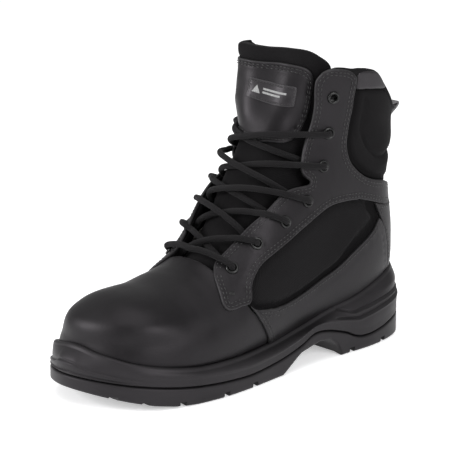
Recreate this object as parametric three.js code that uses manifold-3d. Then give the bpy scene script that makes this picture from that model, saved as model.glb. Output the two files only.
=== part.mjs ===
// Steel toe work boot, left foot, six-inch shaft.
// Millimetres, +Z up, toe towards -Y, heel towards +Y, outer (lateral) side towards +X.
// Origin: on the ground under the middle of the sole.
import * as THREE from 'three';
import { mergeVertices } from 'three/addons/utils/BufferGeometryUtils.js';
import Module from 'manifold-3d';

const wasm = await Module();
wasm.setup();

// ---- overall sizes ----
const soleLength = 304;
const soleWidth = 112;
const shaftHeight = 210;          // ground to the top of the eyelet facing

// ---- layers of the upper, from outside to inside ----
const layerGap = 0.3;
const overlayThickness = 1.7;     // facings, quarters, backstay
const baseThickness = 1.8;        // vamp and side mesh
const paddingThickness = 1.8;     // toe cap, heel counter, ankle foam
const liningThickness = 1.2;
const gussetThickness = 1.2;
const tongueThickness = 4.0;
const panelThickness = 1.5;
const labelThickness = 0.7;
const panelGap = 0.4;             // between two panels that meet edge to edge
const collarPuff = 1.6;           // how far the collar pads stand out

// ---- toe cap, sole and insole ----
const toeCapRear = -88;           // where the steel toe cap ends
const toeCapTrimWidth = 7;
const insoleBoardThickness = 2;
const footbedThickness = 5;
const shankWidth = 18;
const shankThickness = 1.8;
const shankFront = -8;
const shankRear = 96;
const treadDepth = 4;
const treadWidth = 5;

// ---- lacing ----
const laceRadius = 2.2;
const laceClearance = 0.3;
const laceSlack = 2.5;            // spare room for a strand between facing and tongue
const eyeletWall = 0.6;
const eyeletFlangeWidth = 1.9;
const eyeletFlangeThickness = 0.8;
const eyeletHoleRadius = laceRadius + laceClearance + 0.1;

// ---- pull tab ----
const tabWidth = 18;
const tabLength = 16.5;
const tabGap = 6.5;
const tabWebbing = 1.6;
const tabLift = 48;               // degrees above the horizontal

// Distances of each layer's faces from the skin of the vamp, outwards positive.
const overlayInner = layerGap;
const overlayOuter = overlayInner + overlayThickness;
const baseInner = -baseThickness;
const paddingOuter = baseInner - layerGap;
const paddingInner = paddingOuter - paddingThickness;
const liningOuter = paddingInner - layerGap;
const liningInner = liningOuter - liningThickness;
const gussetOuter = liningInner - layerGap;
const gussetInner = gussetOuter - gussetThickness;
const laceChannel = baseInner - 2 * laceClearance - 2 * laceRadius - laceSlack;
const tongueOuter = Math.min(gussetInner - layerGap, laceChannel);
const tongueInner = tongueOuter - tongueThickness;
const panelInner = tongueOuter + layerGap;
const panelOuter = panelInner + panelThickness;
const flangeInner = overlayOuter + layerGap;
const flangeOuter = flangeInner + eyeletFlangeThickness;

// The shape is drawn at these sizes and stretched to the driving ones.
const drawnLength = 304;
const drawnWidth = 112;
const drawnHeight = 210;
const stretchFrom = 60;           // only the shaft above this height grows with shaftHeight

function alongBoot(y) {
  return y * soleLength / drawnLength;
}

function acrossBoot(x) {
  return x * soleWidth / drawnWidth;
}

function upBoot(z) {
  if (z <= stretchFrom) return z;
  return stretchFrom + (z - stretchFrom) * (shaftHeight - stretchFrom) / (drawnHeight - stretchFrom);
}

// ---- the foot form: sections from the toe to the collar ----
// Each section runs from a front point to a back point in the side view and is a rounded
// oval across it: y and z of the front, y and z of the back, centre x, outer and inner
// half widths, where along the section it is widest, squareness in front and behind.
const sections = [
  [-141, 36, -141, 32, -9, 1, 1, 0.60, 2.0, 2.0, 0],
  [-138, 48, -139, 16, -9, 20, 18, 0.60, 2.2, 2.6, 0],
  [-130, 57, -133, 13, -7, 33, 29, 0.62, 2.3, 2.9, 0],
  [-116, 65, -120, 12, -4, 42, 37, 0.64, 2.3, 3.0, 0],
  [-95, 71, -97, 12, -2, 49, 43, 0.66, 2.2, 3.0, 0],
  [-71, 76, -73, 12, -1, 52, 47, 0.66, 2.1, 3.0, 0],
  [-46, 84, -44, 12, 0, 51, 47, 0.64, 2.0, 3.0, 0],
  [-28, 100, -12, 13, 0, 48, 45, 0.60, 2.05, 3.0, 0.02],
  [-14, 119, 26, 15, -1, 44, 43, 0.58, 2.3, 3.0, 0.04],
  [-3, 138, 66, 17, -2, 41, 42, 0.56, 2.6, 3.0, 0.06],
  [8, 155, 108, 20, -3, 40, 40, 0.55, 2.8, 2.7, 0.08],
  [17, 170, 136, 36, -3, 39, 40, 0.54, 2.9, 2.4, 0.10],
  [25, 182, 141, 64, -4, 39, 40, 0.53, 3.0, 2.3, 0.11],
  [29, 191, 137, 95, -4, 40, 41, 0.52, 3.1, 2.2, 0.12],
  [31, 199, 133, 122, -4, 41, 42, 0.51, 3.2, 2.2, 0.13],
  [32, 207, 134, 145, -4, 43, 44, 0.50, 3.2, 2.2, 0.14],
  [31, 216, 137, 170, -4, 45, 46, 0.50, 3.2, 2.2, 0.14],
  [30, 228, 136, 200, -4, 45, 46, 0.50, 3.2, 2.2, 0.14],
];

function sectionAt(v) {
  const last = sections.length - 1;
  const i = Math.min(Math.floor(v), last - 1);
  const f = v - i;
  const rows = [-1, 0, 1, 2].map((k) => sections[Math.min(Math.max(i + k, 0), last)]);
  const row = rows[0].map((unused, c) => {
    const [a, b, d, e] = rows.map((r) => r[c]);
    const cubic = (3 * (b - d) + e - a) * f ** 3 + (2 * a - 5 * b + 4 * d - e) * f ** 2;
    return 0.5 * (2 * b + (d - a) * f + cubic);
  });
  return {
    front: [alongBoot(row[0]), upBoot(row[1])],
    back: [alongBoot(row[2]), upBoot(row[3])],
    centre: acrossBoot(row[4]),
    outer: acrossBoot(row[5]),
    inner: acrossBoot(row[6]),
    widest: row[7],
    frontPower: row[8],
    backPower: row[9],
    skew: row[10],
  };
}

function smoothPoint(v, angle) {
  const s = sectionAt(v);
  const c = Math.cos(angle);
  const half = Math.sin(angle) >= 0 ? s.outer : s.inner;
  const power = 2 / (c > 0 ? s.frontPower : s.backPower);
  const reach = Math.abs(c) ** power;
  const t = c > 0 ? s.widest * (1 - reach) : s.widest + (1 - s.widest) * reach;
  const across = Math.sign(Math.sin(angle)) * half * Math.abs(Math.sin(angle)) ** power;
  const y = s.front[0] + (s.back[0] - s.front[0]) * t + s.skew * across;
  const z = s.front[1] + (s.back[1] - s.front[1]) * t;
  return new THREE.Vector3(s.centre + across, y, z);
}

// ---- the form as a grid of facets that every layer shares ----
const ringCount = sections.length;
const sideCount = 20;
const step = 2 * Math.PI / sideCount;

function smoothNormal(v, angle) {
  const near = 0.02;
  const inV = Math.min(Math.max(v, 0.1), ringCount - 1 - near);
  const alongV = smoothPoint(inV + near, angle).sub(smoothPoint(inV - near, angle));
  const around = smoothPoint(inV, angle + near).sub(smoothPoint(inV, angle - near));
  return around.cross(alongV).normalize();
}

const grid = [];
for (let i = 0; i < ringCount; i += 1) {
  const ring = [];
  for (let j = 0; j < sideCount; j += 1) {
    const angle = j * step;
    const normal = i === 0 ? new THREE.Vector3(0, -1, 0) : smoothNormal(i, angle);
    ring.push({ point: smoothPoint(i, angle), normal });
  }
  grid.push(ring);
}

function corner(i, j, distance) {
  const cell = grid[i][(j + sideCount) % sideCount];
  return cell.point.clone().addScaledVector(cell.normal, distance);
}

// A point on the facets, at a distance from the skin.
function onSkin(v, angle, distance) {
  const i = Math.min(Math.floor(v), ringCount - 2);
  const turns = ((angle / step) % sideCount + sideCount) % sideCount;
  const j = Math.floor(turns);
  const a = v - i;
  const b = turns - j;
  const near = corner(i, j, distance);
  const far = corner(i + 1, j + 1, distance);
  const third = a > b ? corner(i + 1, j, distance) : corner(i, j + 1, distance);
  const other = Math.min(a, b);
  const mid = Math.abs(a - b);
  const start = 1 - other - mid;
  return near.multiplyScalar(start).addScaledVector(far, other).addScaledVector(third, mid);
}

function skinNormal(v, angle) {
  return onSkin(v, angle, 1).sub(onSkin(v, angle, 0)).normalize();
}

// Finds the section and angle of a side-view point on one side of the boot.
function locate([y, z], side) {
  let shift = 0;
  let v = 0;
  let angle = 0;
  for (let pass = 0; pass < 4; pass += 1) {
    let low = 0.5;
    let high = ringCount - 1;
    const target = y - shift;
    for (let n = 0; n < 40; n += 1) {
      v = (low + high) / 2;
      const s = sectionAt(v);
      const turn = (s.back[0] - s.front[0]) * (z - s.front[1]) - (s.back[1] - s.front[1]) * (target - s.front[0]);
      if (turn > 0) low = v;
      else high = v;
    }
    const s = sectionAt(v);
    const t = (z - s.front[1]) / (s.back[1] - s.front[1]);
    const isFront = t < s.widest;
    const reach = isFront ? 1 - t / s.widest : (t - s.widest) / (1 - s.widest);
    const c = Math.min(Math.max(reach, 0), 1) ** ((isFront ? s.frontPower : s.backPower) / 2);
    angle = side * Math.acos(isFront ? c : -c);
    const power = 2 / (isFront ? s.frontPower : s.backPower);
    shift = s.skew * side * (side > 0 ? s.outer : s.inner) * Math.abs(Math.sin(angle)) ** power;
  }
  return { v, angle };
}

// ---- solids ----
function toManifold(geometry) {
  const bare = geometry.clone();
  bare.deleteAttribute('normal');
  bare.deleteAttribute('uv');
  const merged = mergeVertices(bare, 1e-4);
  const vertProperties = new Float32Array(merged.attributes.position.array);
  const triVerts = new Uint32Array(merged.index.array);
  return new wasm.Manifold(new wasm.Mesh({ numProp: 3, vertProperties, triVerts }));
}

function toGeometry(manifold) {
  const mesh = manifold.getMesh();
  const geometry = new THREE.BufferGeometry();
  geometry.setAttribute('position', new THREE.BufferAttribute(mesh.vertProperties, 3));
  geometry.setIndex(new THREE.BufferAttribute(mesh.triVerts, 1));
  geometry.computeVertexNormals();
  return geometry;
}

// The whole form grown or shrunk by a distance, closed at the toe and at the top.
function formSolid(distance) {
  const positions = [];
  const indices = [];
  for (let i = 0; i < ringCount; i += 1) {
    for (let j = 0; j < sideCount; j += 1) positions.push(...corner(i, j, distance).toArray());
  }
  const at = (i, j) => i * sideCount + (j % sideCount);
  for (let i = 0; i < ringCount - 1; i += 1) {
    for (let j = 0; j < sideCount; j += 1) {
      indices.push(at(i, j), at(i + 1, j + 1), at(i + 1, j));
      indices.push(at(i, j), at(i, j + 1), at(i + 1, j + 1));
    }
  }
  for (const [ring, isTop] of [[0, false], [ringCount - 1, true]]) {
    const centre = new THREE.Vector3();
    for (let j = 0; j < sideCount; j += 1) centre.add(corner(ring, j, distance));
    positions.push(...centre.divideScalar(sideCount).toArray());
    const hub = positions.length / 3 - 1;
    for (let j = 0; j < sideCount; j += 1) {
      if (isTop) indices.push(at(ring, j), at(ring, j + 1), hub);
      else indices.push(at(ring, j), hub, at(ring, j + 1));
    }
  }
  const geometry = new THREE.BufferGeometry();
  geometry.setAttribute('position', new THREE.Float32BufferAttribute(positions, 3));
  geometry.setIndex(indices);
  return toManifold(geometry);
}

function layer(inner, outer) {
  return formSolid(outer).subtract(formSolid(inner));
}

// ---- outlines in the side view ----
function place([y, z]) {
  return [alongBoot(y), upBoot(z)];
}

function sideSlab(points, from = -90, to = 90) {
  const shape = new THREE.Shape(points.map(([y, z]) => new THREE.Vector2(y, z)));
  const geometry = new THREE.ExtrudeGeometry(shape, { depth: to - from, bevelEnabled: false });
  const toBoot = new THREE.Matrix4().makeBasis(
    new THREE.Vector3(0, 1, 0), new THREE.Vector3(0, 0, 1), new THREE.Vector3(1, 0, 0));
  geometry.applyMatrix4(toBoot);
  geometry.translate(from, 0, 0);
  return toManifold(geometry);
}

function smooth(points, perSpan) {
  const curve = new THREE.SplineCurve(points.map(([y, z]) => new THREE.Vector2(y, z)));
  return curve.getPoints((points.length - 1) * perSpan).map((p) => [p.x, p.y]);
}

function shifted(points, dy, dz) {
  return points.map(([y, z]) => [y + dy, z + dz]);
}

function raise(points, rise) {
  return shifted(points, 0, rise);
}

const throatEdge = [
  [-44, 79], [-39, 84], [-28, 92.5], [-14, 104.5], [2, 116], [21, 127.5], [41, 129.5],
  [35, 136], [33.5, 141], [36, 151], [39, 158], [43, 166], [46, 176], [47, 187], [47, 201], [50, 209],
].map(place);
const facingTop = [[55, 210], [67, 208.5], [73.5, 205.5]].map(place);
const facingRear = [
  [77, 201], [76, 189], [75.5, 176], [73.8, 164], [73, 155], [75, 145.5], [79.5, 137.5],
  [90, 128.5], [103, 122.5], [118, 118.5], [150, 116],
].map(place);
const facingTab = [[-31, 58.4], [-38, 58.2], [-49, 57], [-52, 61], [-50, 68], [-47, 75]].map(place);
const windowTop = [
  [-28.5, 62], [-25.5, 70], [-21, 75.5], [-13, 82], [2, 88.5], [17, 94.5], [31, 100.5],
  [46, 107], [61, 111.5], [82, 111], [104, 105.5],
].map(place);
const windowBottom = [
  [-31, 57.6], [-26.5, 54], [-12, 51.5], [7, 50.5], [30, 54.5], [55, 61.5], [79, 71.5], [96, 80],
  [106, 87], [110.5, 93],
].map(place);
const backstayFront = [[104.4, 105], [110.8, 94.5], [117.4, 82], [122.4, 66], [126.4, 50], [128.4, 8]].map(place);
const quarterFront = [[0, 8], [-8, 25], [-20, 42]].map(place);
const vampRear = [[-3, 8], [-6, 26], [-18, 41], [-31, 54], [-36, 64], [-40, 74], [-44.5, 84], [-47, 110]].map(place);
const collarTop = [[83, 206.3], [97.5, 203.5], [106.6, 194], [114.5, 185.4], [124, 175.5], [131, 171], [150, 170]].map(place);
const bandLow = [[77.6, 192.6], [83, 192], [97, 190.6], [109.8, 188.8]].map(place);
const liningFront = [
  [-30, 64], [-24, 70], [-6, 85], [17, 97.5], [40, 109], [52, 119], [59.5, 132], [64, 150],
  [66.5, 170], [68, 190], [69, 206],
].map(place);
const liningSplit = [[0, 8], [-12, 40]].map(place);
const counterTop = [[150, 86.6], [120, 86.6], [95, 80.2], [80, 60], [74, 40], [72, 8]].map(place);
const foamBottom = [[-10, 62], [20, 62], [50, 65], [76, 72], [94, 81], [120, 87], [150, 87]].map(place);
const frontOfBoot = alongBoot(-160);
const backOfBoot = alongBoot(160);

// Height of the insole board's underside along the boot.
const lastFloor = smooth([
  [-160, 30], [-130, 23.5], [-95, 20.5], [-71, 20], [-46, 20.5], [-12, 22.5], [26, 27], [66, 32],
  [108, 35], [160, 36],
].map(place), 2);

function floorSlab(bottomRise, topRise, from, to) {
  return sideSlab([...raise(lastFloor, bottomRise), ...raise(lastFloor, topRise).reverse()], from, to);
}

const ceiling = 400;
const aboveFloor = sideSlab([...lastFloor, [backOfBoot, ceiling], [frontOfBoot, ceiling]]);

// ---- panels cut from the layers ----
const overlay = layer(overlayInner, overlayOuter).intersect(aboveFloor);
const base = layer(baseInner, 0).intersect(aboveFloor);
const padding = layer(paddingInner, paddingOuter).intersect(aboveFloor);
const lining = layer(liningInner, liningOuter).intersect(aboveFloor);
const collar = layer(paddingInner, collarPuff).intersect(aboveFloor);
const gusset = layer(gussetInner, gussetOuter);
const tongue = layer(tongueInner, tongueOuter);
const panel = layer(panelInner, panelOuter);
const label = layer(panelOuter + layerGap, panelOuter + layerGap + labelThickness);

const sides = { lateral: 1, medial: -1 };
const middle = acrossBoot(-3.5);
const halfGap = panelGap / 2;

function oneSide(points, side) {
  if (side > 0) return sideSlab(points, middle + halfGap, 90);
  return sideSlab(points, -90, middle - halfGap);
}

const boot = new THREE.Group();
boot.name = 'work_boot';

const leather = { color: 0x2b292a, roughness: 0.55, metalness: 0 };
const textile = { color: 0x1c1b1c, roughness: 0.9, metalness: 0 };
const meshCloth = { color: 0x202021, roughness: 0.85, metalness: 0 };
const liningCloth = { color: 0x2a2a2c, roughness: 0.95, metalness: 0 };
const foam = { color: 0x77756f, roughness: 0.95, metalness: 0 };
const steel = { color: 0x9a9c9e, roughness: 0.4, metalness: 1 };
const board = { color: 0x8d7b60, roughness: 0.9, metalness: 0 };
const solePlastic = { color: 0x29292b, roughness: 0.6, metalness: 0 };
const blackMetal = { color: 0x1a1a1b, roughness: 0.3, metalness: 0.9 };
const laceCord = { color: 0x161617, roughness: 0.85, metalness: 0 };

function add(name, solid, finish) {
  const geometry = solid instanceof THREE.BufferGeometry ? solid : toGeometry(solid);
  const mesh = new THREE.Mesh(geometry, new THREE.MeshStandardMaterial(finish));
  mesh.name = name;
  boot.add(mesh);
}

// ---- eyelets ----
const eyeletSpots = [[-33.2, 81], [-12, 95.2], [13.2, 106.8], [35.2, 118], [51.6, 140.4], [57.4, 163.6], [59, 189.4]].map(place);

function eyeletPlace(index, side) {
  const { v, angle } = locate(eyeletSpots[index], side);
  const normal = skinNormal(v, angle);
  return { v, angle, normal, seat: onSkin(v, angle, 0) };
}

function standOn(geometry, seat, normal) {
  const turn = new THREE.Quaternion().setFromUnitVectors(new THREE.Vector3(0, 1, 0), normal);
  geometry.applyQuaternion(turn);
  geometry.translate(seat.x, seat.y, seat.z);
  return geometry;
}

function eyeletRing({ seat, normal }) {
  const barrel = eyeletHoleRadius + eyeletWall;
  const flange = eyeletHoleRadius + eyeletFlangeWidth;
  const profile = [
    [eyeletHoleRadius, baseInner], [barrel, baseInner], [barrel, flangeInner], [flange, flangeInner],
    [flange - 0.6, flangeOuter], [eyeletHoleRadius, flangeOuter], [eyeletHoleRadius, baseInner],
  ];
  const geometry = new THREE.LatheGeometry(profile.map(([r, h]) => new THREE.Vector2(r, h)), 8);
  return standOn(geometry, seat, normal);
}

// The hole for an eyelet's barrel, with a flat seat under its flange.
function eyeletBore({ seat, normal }) {
  const depth = 30;
  const radius = eyeletHoleRadius + eyeletWall + layerGap;
  const hole = new THREE.CylinderGeometry(radius, radius, depth, 8);
  const seatRadius = eyeletHoleRadius + eyeletFlangeWidth + layerGap;
  const pocket = new THREE.CylinderGeometry(seatRadius, seatRadius, depth, 8);
  pocket.translate(0, depth / 2 + overlayOuter, 0);
  const place = (geometry) => toManifold(standOn(geometry, seat, normal));
  return place(hole).add(place(pocket));
}

const eyelets = {};
for (const [name, side] of Object.entries(sides)) {
  eyelets[name] = eyeletSpots.map((spot, index) => eyeletPlace(index, side));
}
const eyeletBores = wasm.Manifold.union(Object.values(eyelets).flat().map(eyeletBore));

// ---- overlay panels ----
const facingOutline = [
  ...facingTab, ...throatEdge, ...facingTop, ...facingRear, place([150, 106]), ...[...windowTop].reverse(),
];
const quarterOutline = [...windowBottom, ...shifted(backstayFront.slice(2), -panelGap, 0), ...quarterFront];
const backstayOutline = [...backstayFront, [backOfBoot, upBoot(8)], place([150, 105.4])];
const collarPadOutline = [
  ...shifted([...bandLow, ...collarTop.slice(3)], 0, -panelGap), ...shifted(facingRear.slice(1).reverse(), panelGap, panelGap),
];
const collarBandOutline = [...bandLow, ...collarTop.slice(0, 3).reverse(), place([77.6, 206.2])];

const meshOutline = [
  ...shifted(vampRear.slice(0, -2), panelGap, 0), ...shifted(throatEdge.slice(1), 0.8, -0.8), ...shifted(facingTop, 0, -0.8),
  ...shifted(facingRear, -0.2, -0.2), place([150, 8]),
];
const foamOutline = [
  ...foamBottom, ...shifted([...facingRear].reverse(), -0.3, -0.3), ...[...liningFront].reverse().slice(0, -2),
];
const shaftLiningOutline = [
  ...shifted(liningSplit, panelGap, 0), ...liningFront, ...shifted([...facingTop.slice(2), ...collarTop], 0, -0.8),
  place([150, 8]),
];

for (const [name, side] of Object.entries(sides)) {
  add(`facing_${name}`, overlay.intersect(oneSide(facingOutline, side)).subtract(eyeletBores), leather);
  add(`quarter_${name}`, overlay.intersect(oneSide(quarterOutline, side)), leather);
  add(`side_mesh_${name}`, base.intersect(oneSide(meshOutline, side)).subtract(eyeletBores), meshCloth);
  add(`collar_pad_${name}`, collar.intersect(oneSide(collarPadOutline, side)), textile);
  add(`collar_band_${name}`, collar.intersect(oneSide(collarBandOutline, side)), leather);
  add(`ankle_foam_${name}`, padding.intersect(oneSide(foamOutline, side)), foam);
  add(`shaft_lining_${name}`, lining.intersect(oneSide(shaftLiningOutline, side)), liningCloth);
}
add('backstay', overlay.intersect(sideSlab(backstayOutline)), leather);

// ---- vamp, toe cap and heel counter ----
const vampOutline = [...vampRear, [frontOfBoot, ceiling], [frontOfBoot, 0]];
const vampLiningOutline = [...liningSplit, ...[[-30, 62], [-46, 80], [-48, 120]].map(place), [frontOfBoot, ceiling], [frontOfBoot, 0]];
const capRear = [[4, 8], [0, 45], [-4, 120]].map(([dy, z]) => [alongBoot(toeCapRear + dy), z]);
const capTrim = [...shifted(capRear, layerGap, 0), ...shifted([...capRear].reverse(), toeCapTrimWidth, 0)];
add('vamp', base.intersect(sideSlab(vampOutline)), leather);
add('vamp_lining', lining.intersect(sideSlab(vampLiningOutline)), liningCloth);
add('steel_toe_cap', padding.intersect(sideSlab([...capRear, [frontOfBoot, 120], [frontOfBoot, 8]])), steel);
add('toe_cap_edge_trim', padding.intersect(sideSlab(capTrim)), foam);
add('heel_counter', padding.intersect(sideSlab([...counterTop, place([150, 8])])), board);

// ---- tongue ----
const hingeHeight = 170;
const tongueHinge = place([40, hingeHeight]);
const tongueRootFront = [[-80, 120], [-66, 84], [-52, 70]].map(place);
const tongueRear = [[-18, 66], [0, 79], [20, 91], [40, 102], [52, 113], [58, 123], [58, 132], [52, 140], [53, 156], [54, hingeHeight]].map(place);
const tongueLower = [...tongueRootFront, ...tongueRear, place([0, hingeHeight])];
const tongueUpper = [
  ...raise([place([-20, hingeHeight]), tongueHinge], panelGap), ...[
    [54, 175.5], [56, 190], [62, 204], [64, 211], [54, 216], [42, 220.5], [20, 221.5],
  ].map(place),
];
const tonguePanel = [[12, 168], [24, 161], [36, 164.5], [41, 172], [44, 184], [45, 198], [42, 206], [30, 211], [10, 209]].map(place);
const tongueLabel = [[20, 187], [40, 181.5], [44, 190], [20, 198]].map(place);
const gussetBand = [
  ...[[-16, 66], [0, 78], [20, 90], [40, 101], [51, 112], [56, 123], [56.5, 132]].map(place),
  ...[[68, 134], [60, 116], [44, 104], [22, 92], [0, 76], [-12, 66]].map(([y, z]) => place([y + 6, z - 7])),
];
add('tongue_lower', tongue.intersect(sideSlab(tongueLower)), textile);
add('tongue_flap', tongue.intersect(sideSlab(tongueUpper)), textile);
add('tongue_panel', panel.intersect(sideSlab(tonguePanel)), leather);
add('tongue_label', label.intersect(sideSlab(tongueLabel, acrossBoot(-22), acrossBoot(14))), leather);
for (const [name, side] of Object.entries(sides)) {
  add(`tongue_gusset_${name}`, gusset.intersect(oneSide(gussetBand, side)), liningCloth);
}

// ---- sole ----
const soleOutline = [
  [-10, -152], [14, -147], [36, -130], [50, -103], [56, -70], [55, -38], [50.5, -5], [46.5, 30],
  [45, 65], [43.5, 100], [34, 130], [14, 148], [-3, 152], [-20, 148], [-38, 130], [-46, 100], [-47, 65],
  [-46, 35], [-47, 5], [-50, -25], [-54, -55], [-56, -85], [-51, -115], [-36, -140],
].map(([x, y]) => new THREE.Vector3(acrossBoot(x), alongBoot(y), 0));
const soleCurve = new THREE.CatmullRomCurve3(soleOutline, true, 'catmullrom', 0.5);
const soleColumn = toManifold(new THREE.ExtrudeGeometry(
  new THREE.Shape(soleCurve.getSpacedPoints(44).map((p) => new THREE.Vector2(p.x, p.y))),
  { depth: 70, bevelEnabled: false }));

const groundLine = smooth([[160, 3], [147, 0.8]].map(place), 1).concat(
  [[140, 0], [64, 0], [60, 8], [52, 14.5], [40, 15.5], [28, 13], [20, 13], [4, 2], [0, 0], [-85, 0],
    [-100, 1], [-115, 3.3], [-130, 7], [-142, 10.2], [-160, 15.5]].map(place));
const grooveLine = smooth([
  [-160, 24], [-123, 17.7], [-90, 13.2], [-58, 10.9], [-33, 10], [-4, 12.2], [19, 16.9], [34, 22.5],
  [48, 22], [67, 16.7], [79, 11.4], [90, 10], [107, 11.4], [121, 14], [160, 21],
].map(place), 2);
const featherLine = smooth([
  [-160, 50], [-152, 47.5], [-146, 41.5], [-130, 34.5], [-116, 31], [-99, 28], [-80, 25.5], [-58, 24.5],
  [-33, 24], [-4, 25], [25, 29], [53, 34.5], [79, 37.5], [100, 41.5], [116, 45.5], [140, 51.5], [160, 53],
].map(place), 2);

// A tread groove in two halves that meet in the middle as a wide V.
function treadGroove(y, vee) {
  const halves = [1, -1].map((side) => {
    const groove = new THREE.BoxGeometry(90, treadWidth, 2 * treadDepth);
    groove.translate(side * 42, 0, 0);
    groove.rotateZ(side * vee);
    groove.translate(0, alongBoot(y), treadLift(alongBoot(y)));
    return toManifold(groove);
  });
  return halves[0].add(halves[1]);
}

function treadLift(y) {
  const rise = [...groundLine].reverse().find(([at], i, line) => line[i + 1] && y <= line[i + 1][0]);
  return y < alongBoot(-85) && rise ? rise[1] : 0;
}

const treadVee = -0.22;
const treadRows = [-128, -106, -84, -60, -36, -12, 84, 106, 128];
const tread = wasm.Manifold.union(treadRows.map((y) => treadGroove(y, treadVee)));
const outsoleSide = sideSlab([...groundLine, ...grooveLine]);
add('outsole', soleColumn.intersect(outsoleSide).subtract(tread), solePlastic);

const midsoleSide = sideSlab([...raise(grooveLine, layerGap), ...[...featherLine].reverse()]);
const quarterZone = sideSlab([...shifted(quarterFront, -2, 0), place([-34, 60]), [frontOfBoot * -1, 60], [backOfBoot, 0]]);
const footRecess = formSolid(layerGap).add(formSolid(overlayOuter + layerGap).intersect(quarterZone))
  .intersect(sideSlab([...raise(lastFloor, -layerGap), [backOfBoot, ceiling], [frontOfBoot, ceiling]]));

const shankSpan = new THREE.BoxGeometry(
  shankWidth, alongBoot(shankRear) - alongBoot(shankFront), 120).translate(
  middle, (alongBoot(shankRear) + alongBoot(shankFront)) / 2, 0);
const shankSlot = new THREE.BoxGeometry(
  shankWidth + 2 * layerGap, alongBoot(shankRear) - alongBoot(shankFront) + 2 * layerGap, 120).translate(
  middle, (alongBoot(shankRear) + alongBoot(shankFront)) / 2, 0);
const shank = toManifold(shankSpan).intersect(floorSlab(-layerGap - shankThickness, -layerGap));
const slot = toManifold(shankSlot).intersect(floorSlab(-2 * layerGap - shankThickness, layerGap));
add('midsole', soleColumn.intersect(midsoleSide).subtract(footRecess).subtract(slot), solePlastic);
add('steel_shank', shank, steel);

// ---- insole ----
const insideLining = formSolid(liningInner - layerGap);
const boardTop = insoleBoardThickness;
const footbedBottom = boardTop + layerGap;
add('insole_board', insideLining.intersect(floorSlab(0, boardTop)), board);
add('footbed', insideLining.intersect(floorSlab(footbedBottom, footbedBottom + footbedThickness)), foam);

// ---- eyelets and lace ----
for (const [name, list] of Object.entries(eyelets)) {
  list.forEach((eyelet, index) => {
    add(`eyelet_${name}_${index + 1}`, eyeletRing(eyelet), blackMetal);
  });
}

// A path that ExtrudeGeometry follows point by point.
class HandPath extends THREE.Curve {
  constructor(points) {
    super();
    this.points = points;
  }

  getPoint(t, target = new THREE.Vector3()) {
    const last = this.points.length - 1;
    const i = Math.min(Math.floor(t * last + 1e-9), last - 1);
    return target.lerpVectors(this.points[i], this.points[i + 1], t * last - i);
  }

  getPointAt(u, target) {
    return this.getPoint(u, target);
  }

  getTangentAt(u, target = new THREE.Vector3()) {
    const last = this.points.length - 1;
    const i = Math.round(u * last);
    const before = this.points[Math.max(i - 1, 0)];
    const here = this.points[i];
    const after = this.points[Math.min(i + 1, last)];
    const arriving = here.clone().sub(before).normalize();
    const leaving = after.clone().sub(here).normalize();
    return target.copy(arriving.add(leaving).normalize());
  }
}

const bend = laceRadius + 1;
const overFlange = flangeOuter + laceClearance + laceRadius;
const overLeather = overlayOuter + laceClearance + laceRadius + 0.9;
const underLeather = baseInner - laceClearance - laceRadius - laceSlack / 4;

function throatPoint(index, side) {
  const [y, z] = eyeletSpots[index];
  const near = throatEdge.slice(0, -1).map((start, i) => {
    const end = throatEdge[i + 1];
    const run = [end[0] - start[0], end[1] - start[1]];
    const along = ((y - start[0]) * run[0] + (z - start[1]) * run[1]) / (run[0] ** 2 + run[1] ** 2);
    const clipped = Math.min(Math.max(along, 0), 1);
    const spot = [start[0] + clipped * run[0], start[1] + clipped * run[1]];
    return { spot, distance: Math.hypot(y - spot[0], z - spot[1]) };
  });
  near.sort((a, b) => a.distance - b.distance);
  return locate(near[0].spot, side);
}

// Bends the lace from the flange side of an eyelet, or from behind it, towards a point.
function eyeletBend(eyelet, towards, level, levelSign) {
  const { seat, normal } = eyelet;
  const away = towards.clone().sub(seat);
  away.addScaledVector(normal, -away.dot(normal)).normalize();
  const start = level - levelSign * bend;
  const points = [0, 0.5, 1].map((f) => {
    const angle = f * Math.PI / 2;
    return seat.clone()
      .addScaledVector(away, bend * (1 - Math.cos(angle)))
      .addScaledVector(normal, start + levelSign * bend * Math.sin(angle));
  });
  return points;
}

// Where a strand between two places on the throat's edges crosses the front line of the boot.
function crossingSection(a, b) {
  const ends = [a, b].map(({ v, angle }) => onSkin(v, angle, 0));
  const mean = ends[0].add(ends[1]).multiplyScalar(0.5);
  let low = 4;
  let high = ringCount - 1.1;
  for (let n = 0; n < 30; n += 1) {
    const v = (low + high) / 2;
    const front = onSkin(v, 0, 0);
    const upwards = onSkin(v + 0.1, 0, 0).sub(front).normalize().add(new THREE.Vector3(0, 0, 1));
    upwards.x = 0;
    if (front.sub(mean).dot(upwards) < 0) low = v;
    else high = v;
  }
  return low;
}

function acrossThroat(a, b, share, distance) {
  const middleV = crossingSection(a, b);
  const end = share < 0.5 ? a : b;
  const toEnd = Math.abs(share - 0.5) * 2;
  return onSkin(middleV + (end.v - middleV) * toEnd, end.angle * toEnd, distance);
}

// One strand from behind an eyelet, across the throat, to the front of the next one.
function strand(fromIndex, fromSide, toIndex, toSide, isLow) {
  const leaveEdge = throatPoint(fromIndex, sides[fromSide]);
  const reachEdge = throatPoint(toIndex, sides[toSide]);
  const depth = isLow ? [underLeather + 0.8, underLeather + 0.9, 0.9] : [underLeather + 2.6, 1.1, 3.3];
  const under = onSkin(leaveEdge.v, leaveEdge.angle, underLeather);
  const over = onSkin(reachEdge.v, reachEdge.angle * 0.97, overLeather);
  const crossing = depth.map((distance, i) => acrossThroat(leaveEdge, reachEdge, 0.25 * (i + 1), distance));
  const leaving = eyeletBend(eyelets[fromSide][fromIndex], under, underLeather, -1);
  const reaching = eyeletBend(eyelets[toSide][toIndex], over, overFlange, 1).reverse();
  return [...leaving, under, ...crossing, over, ...reaching];
}

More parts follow.
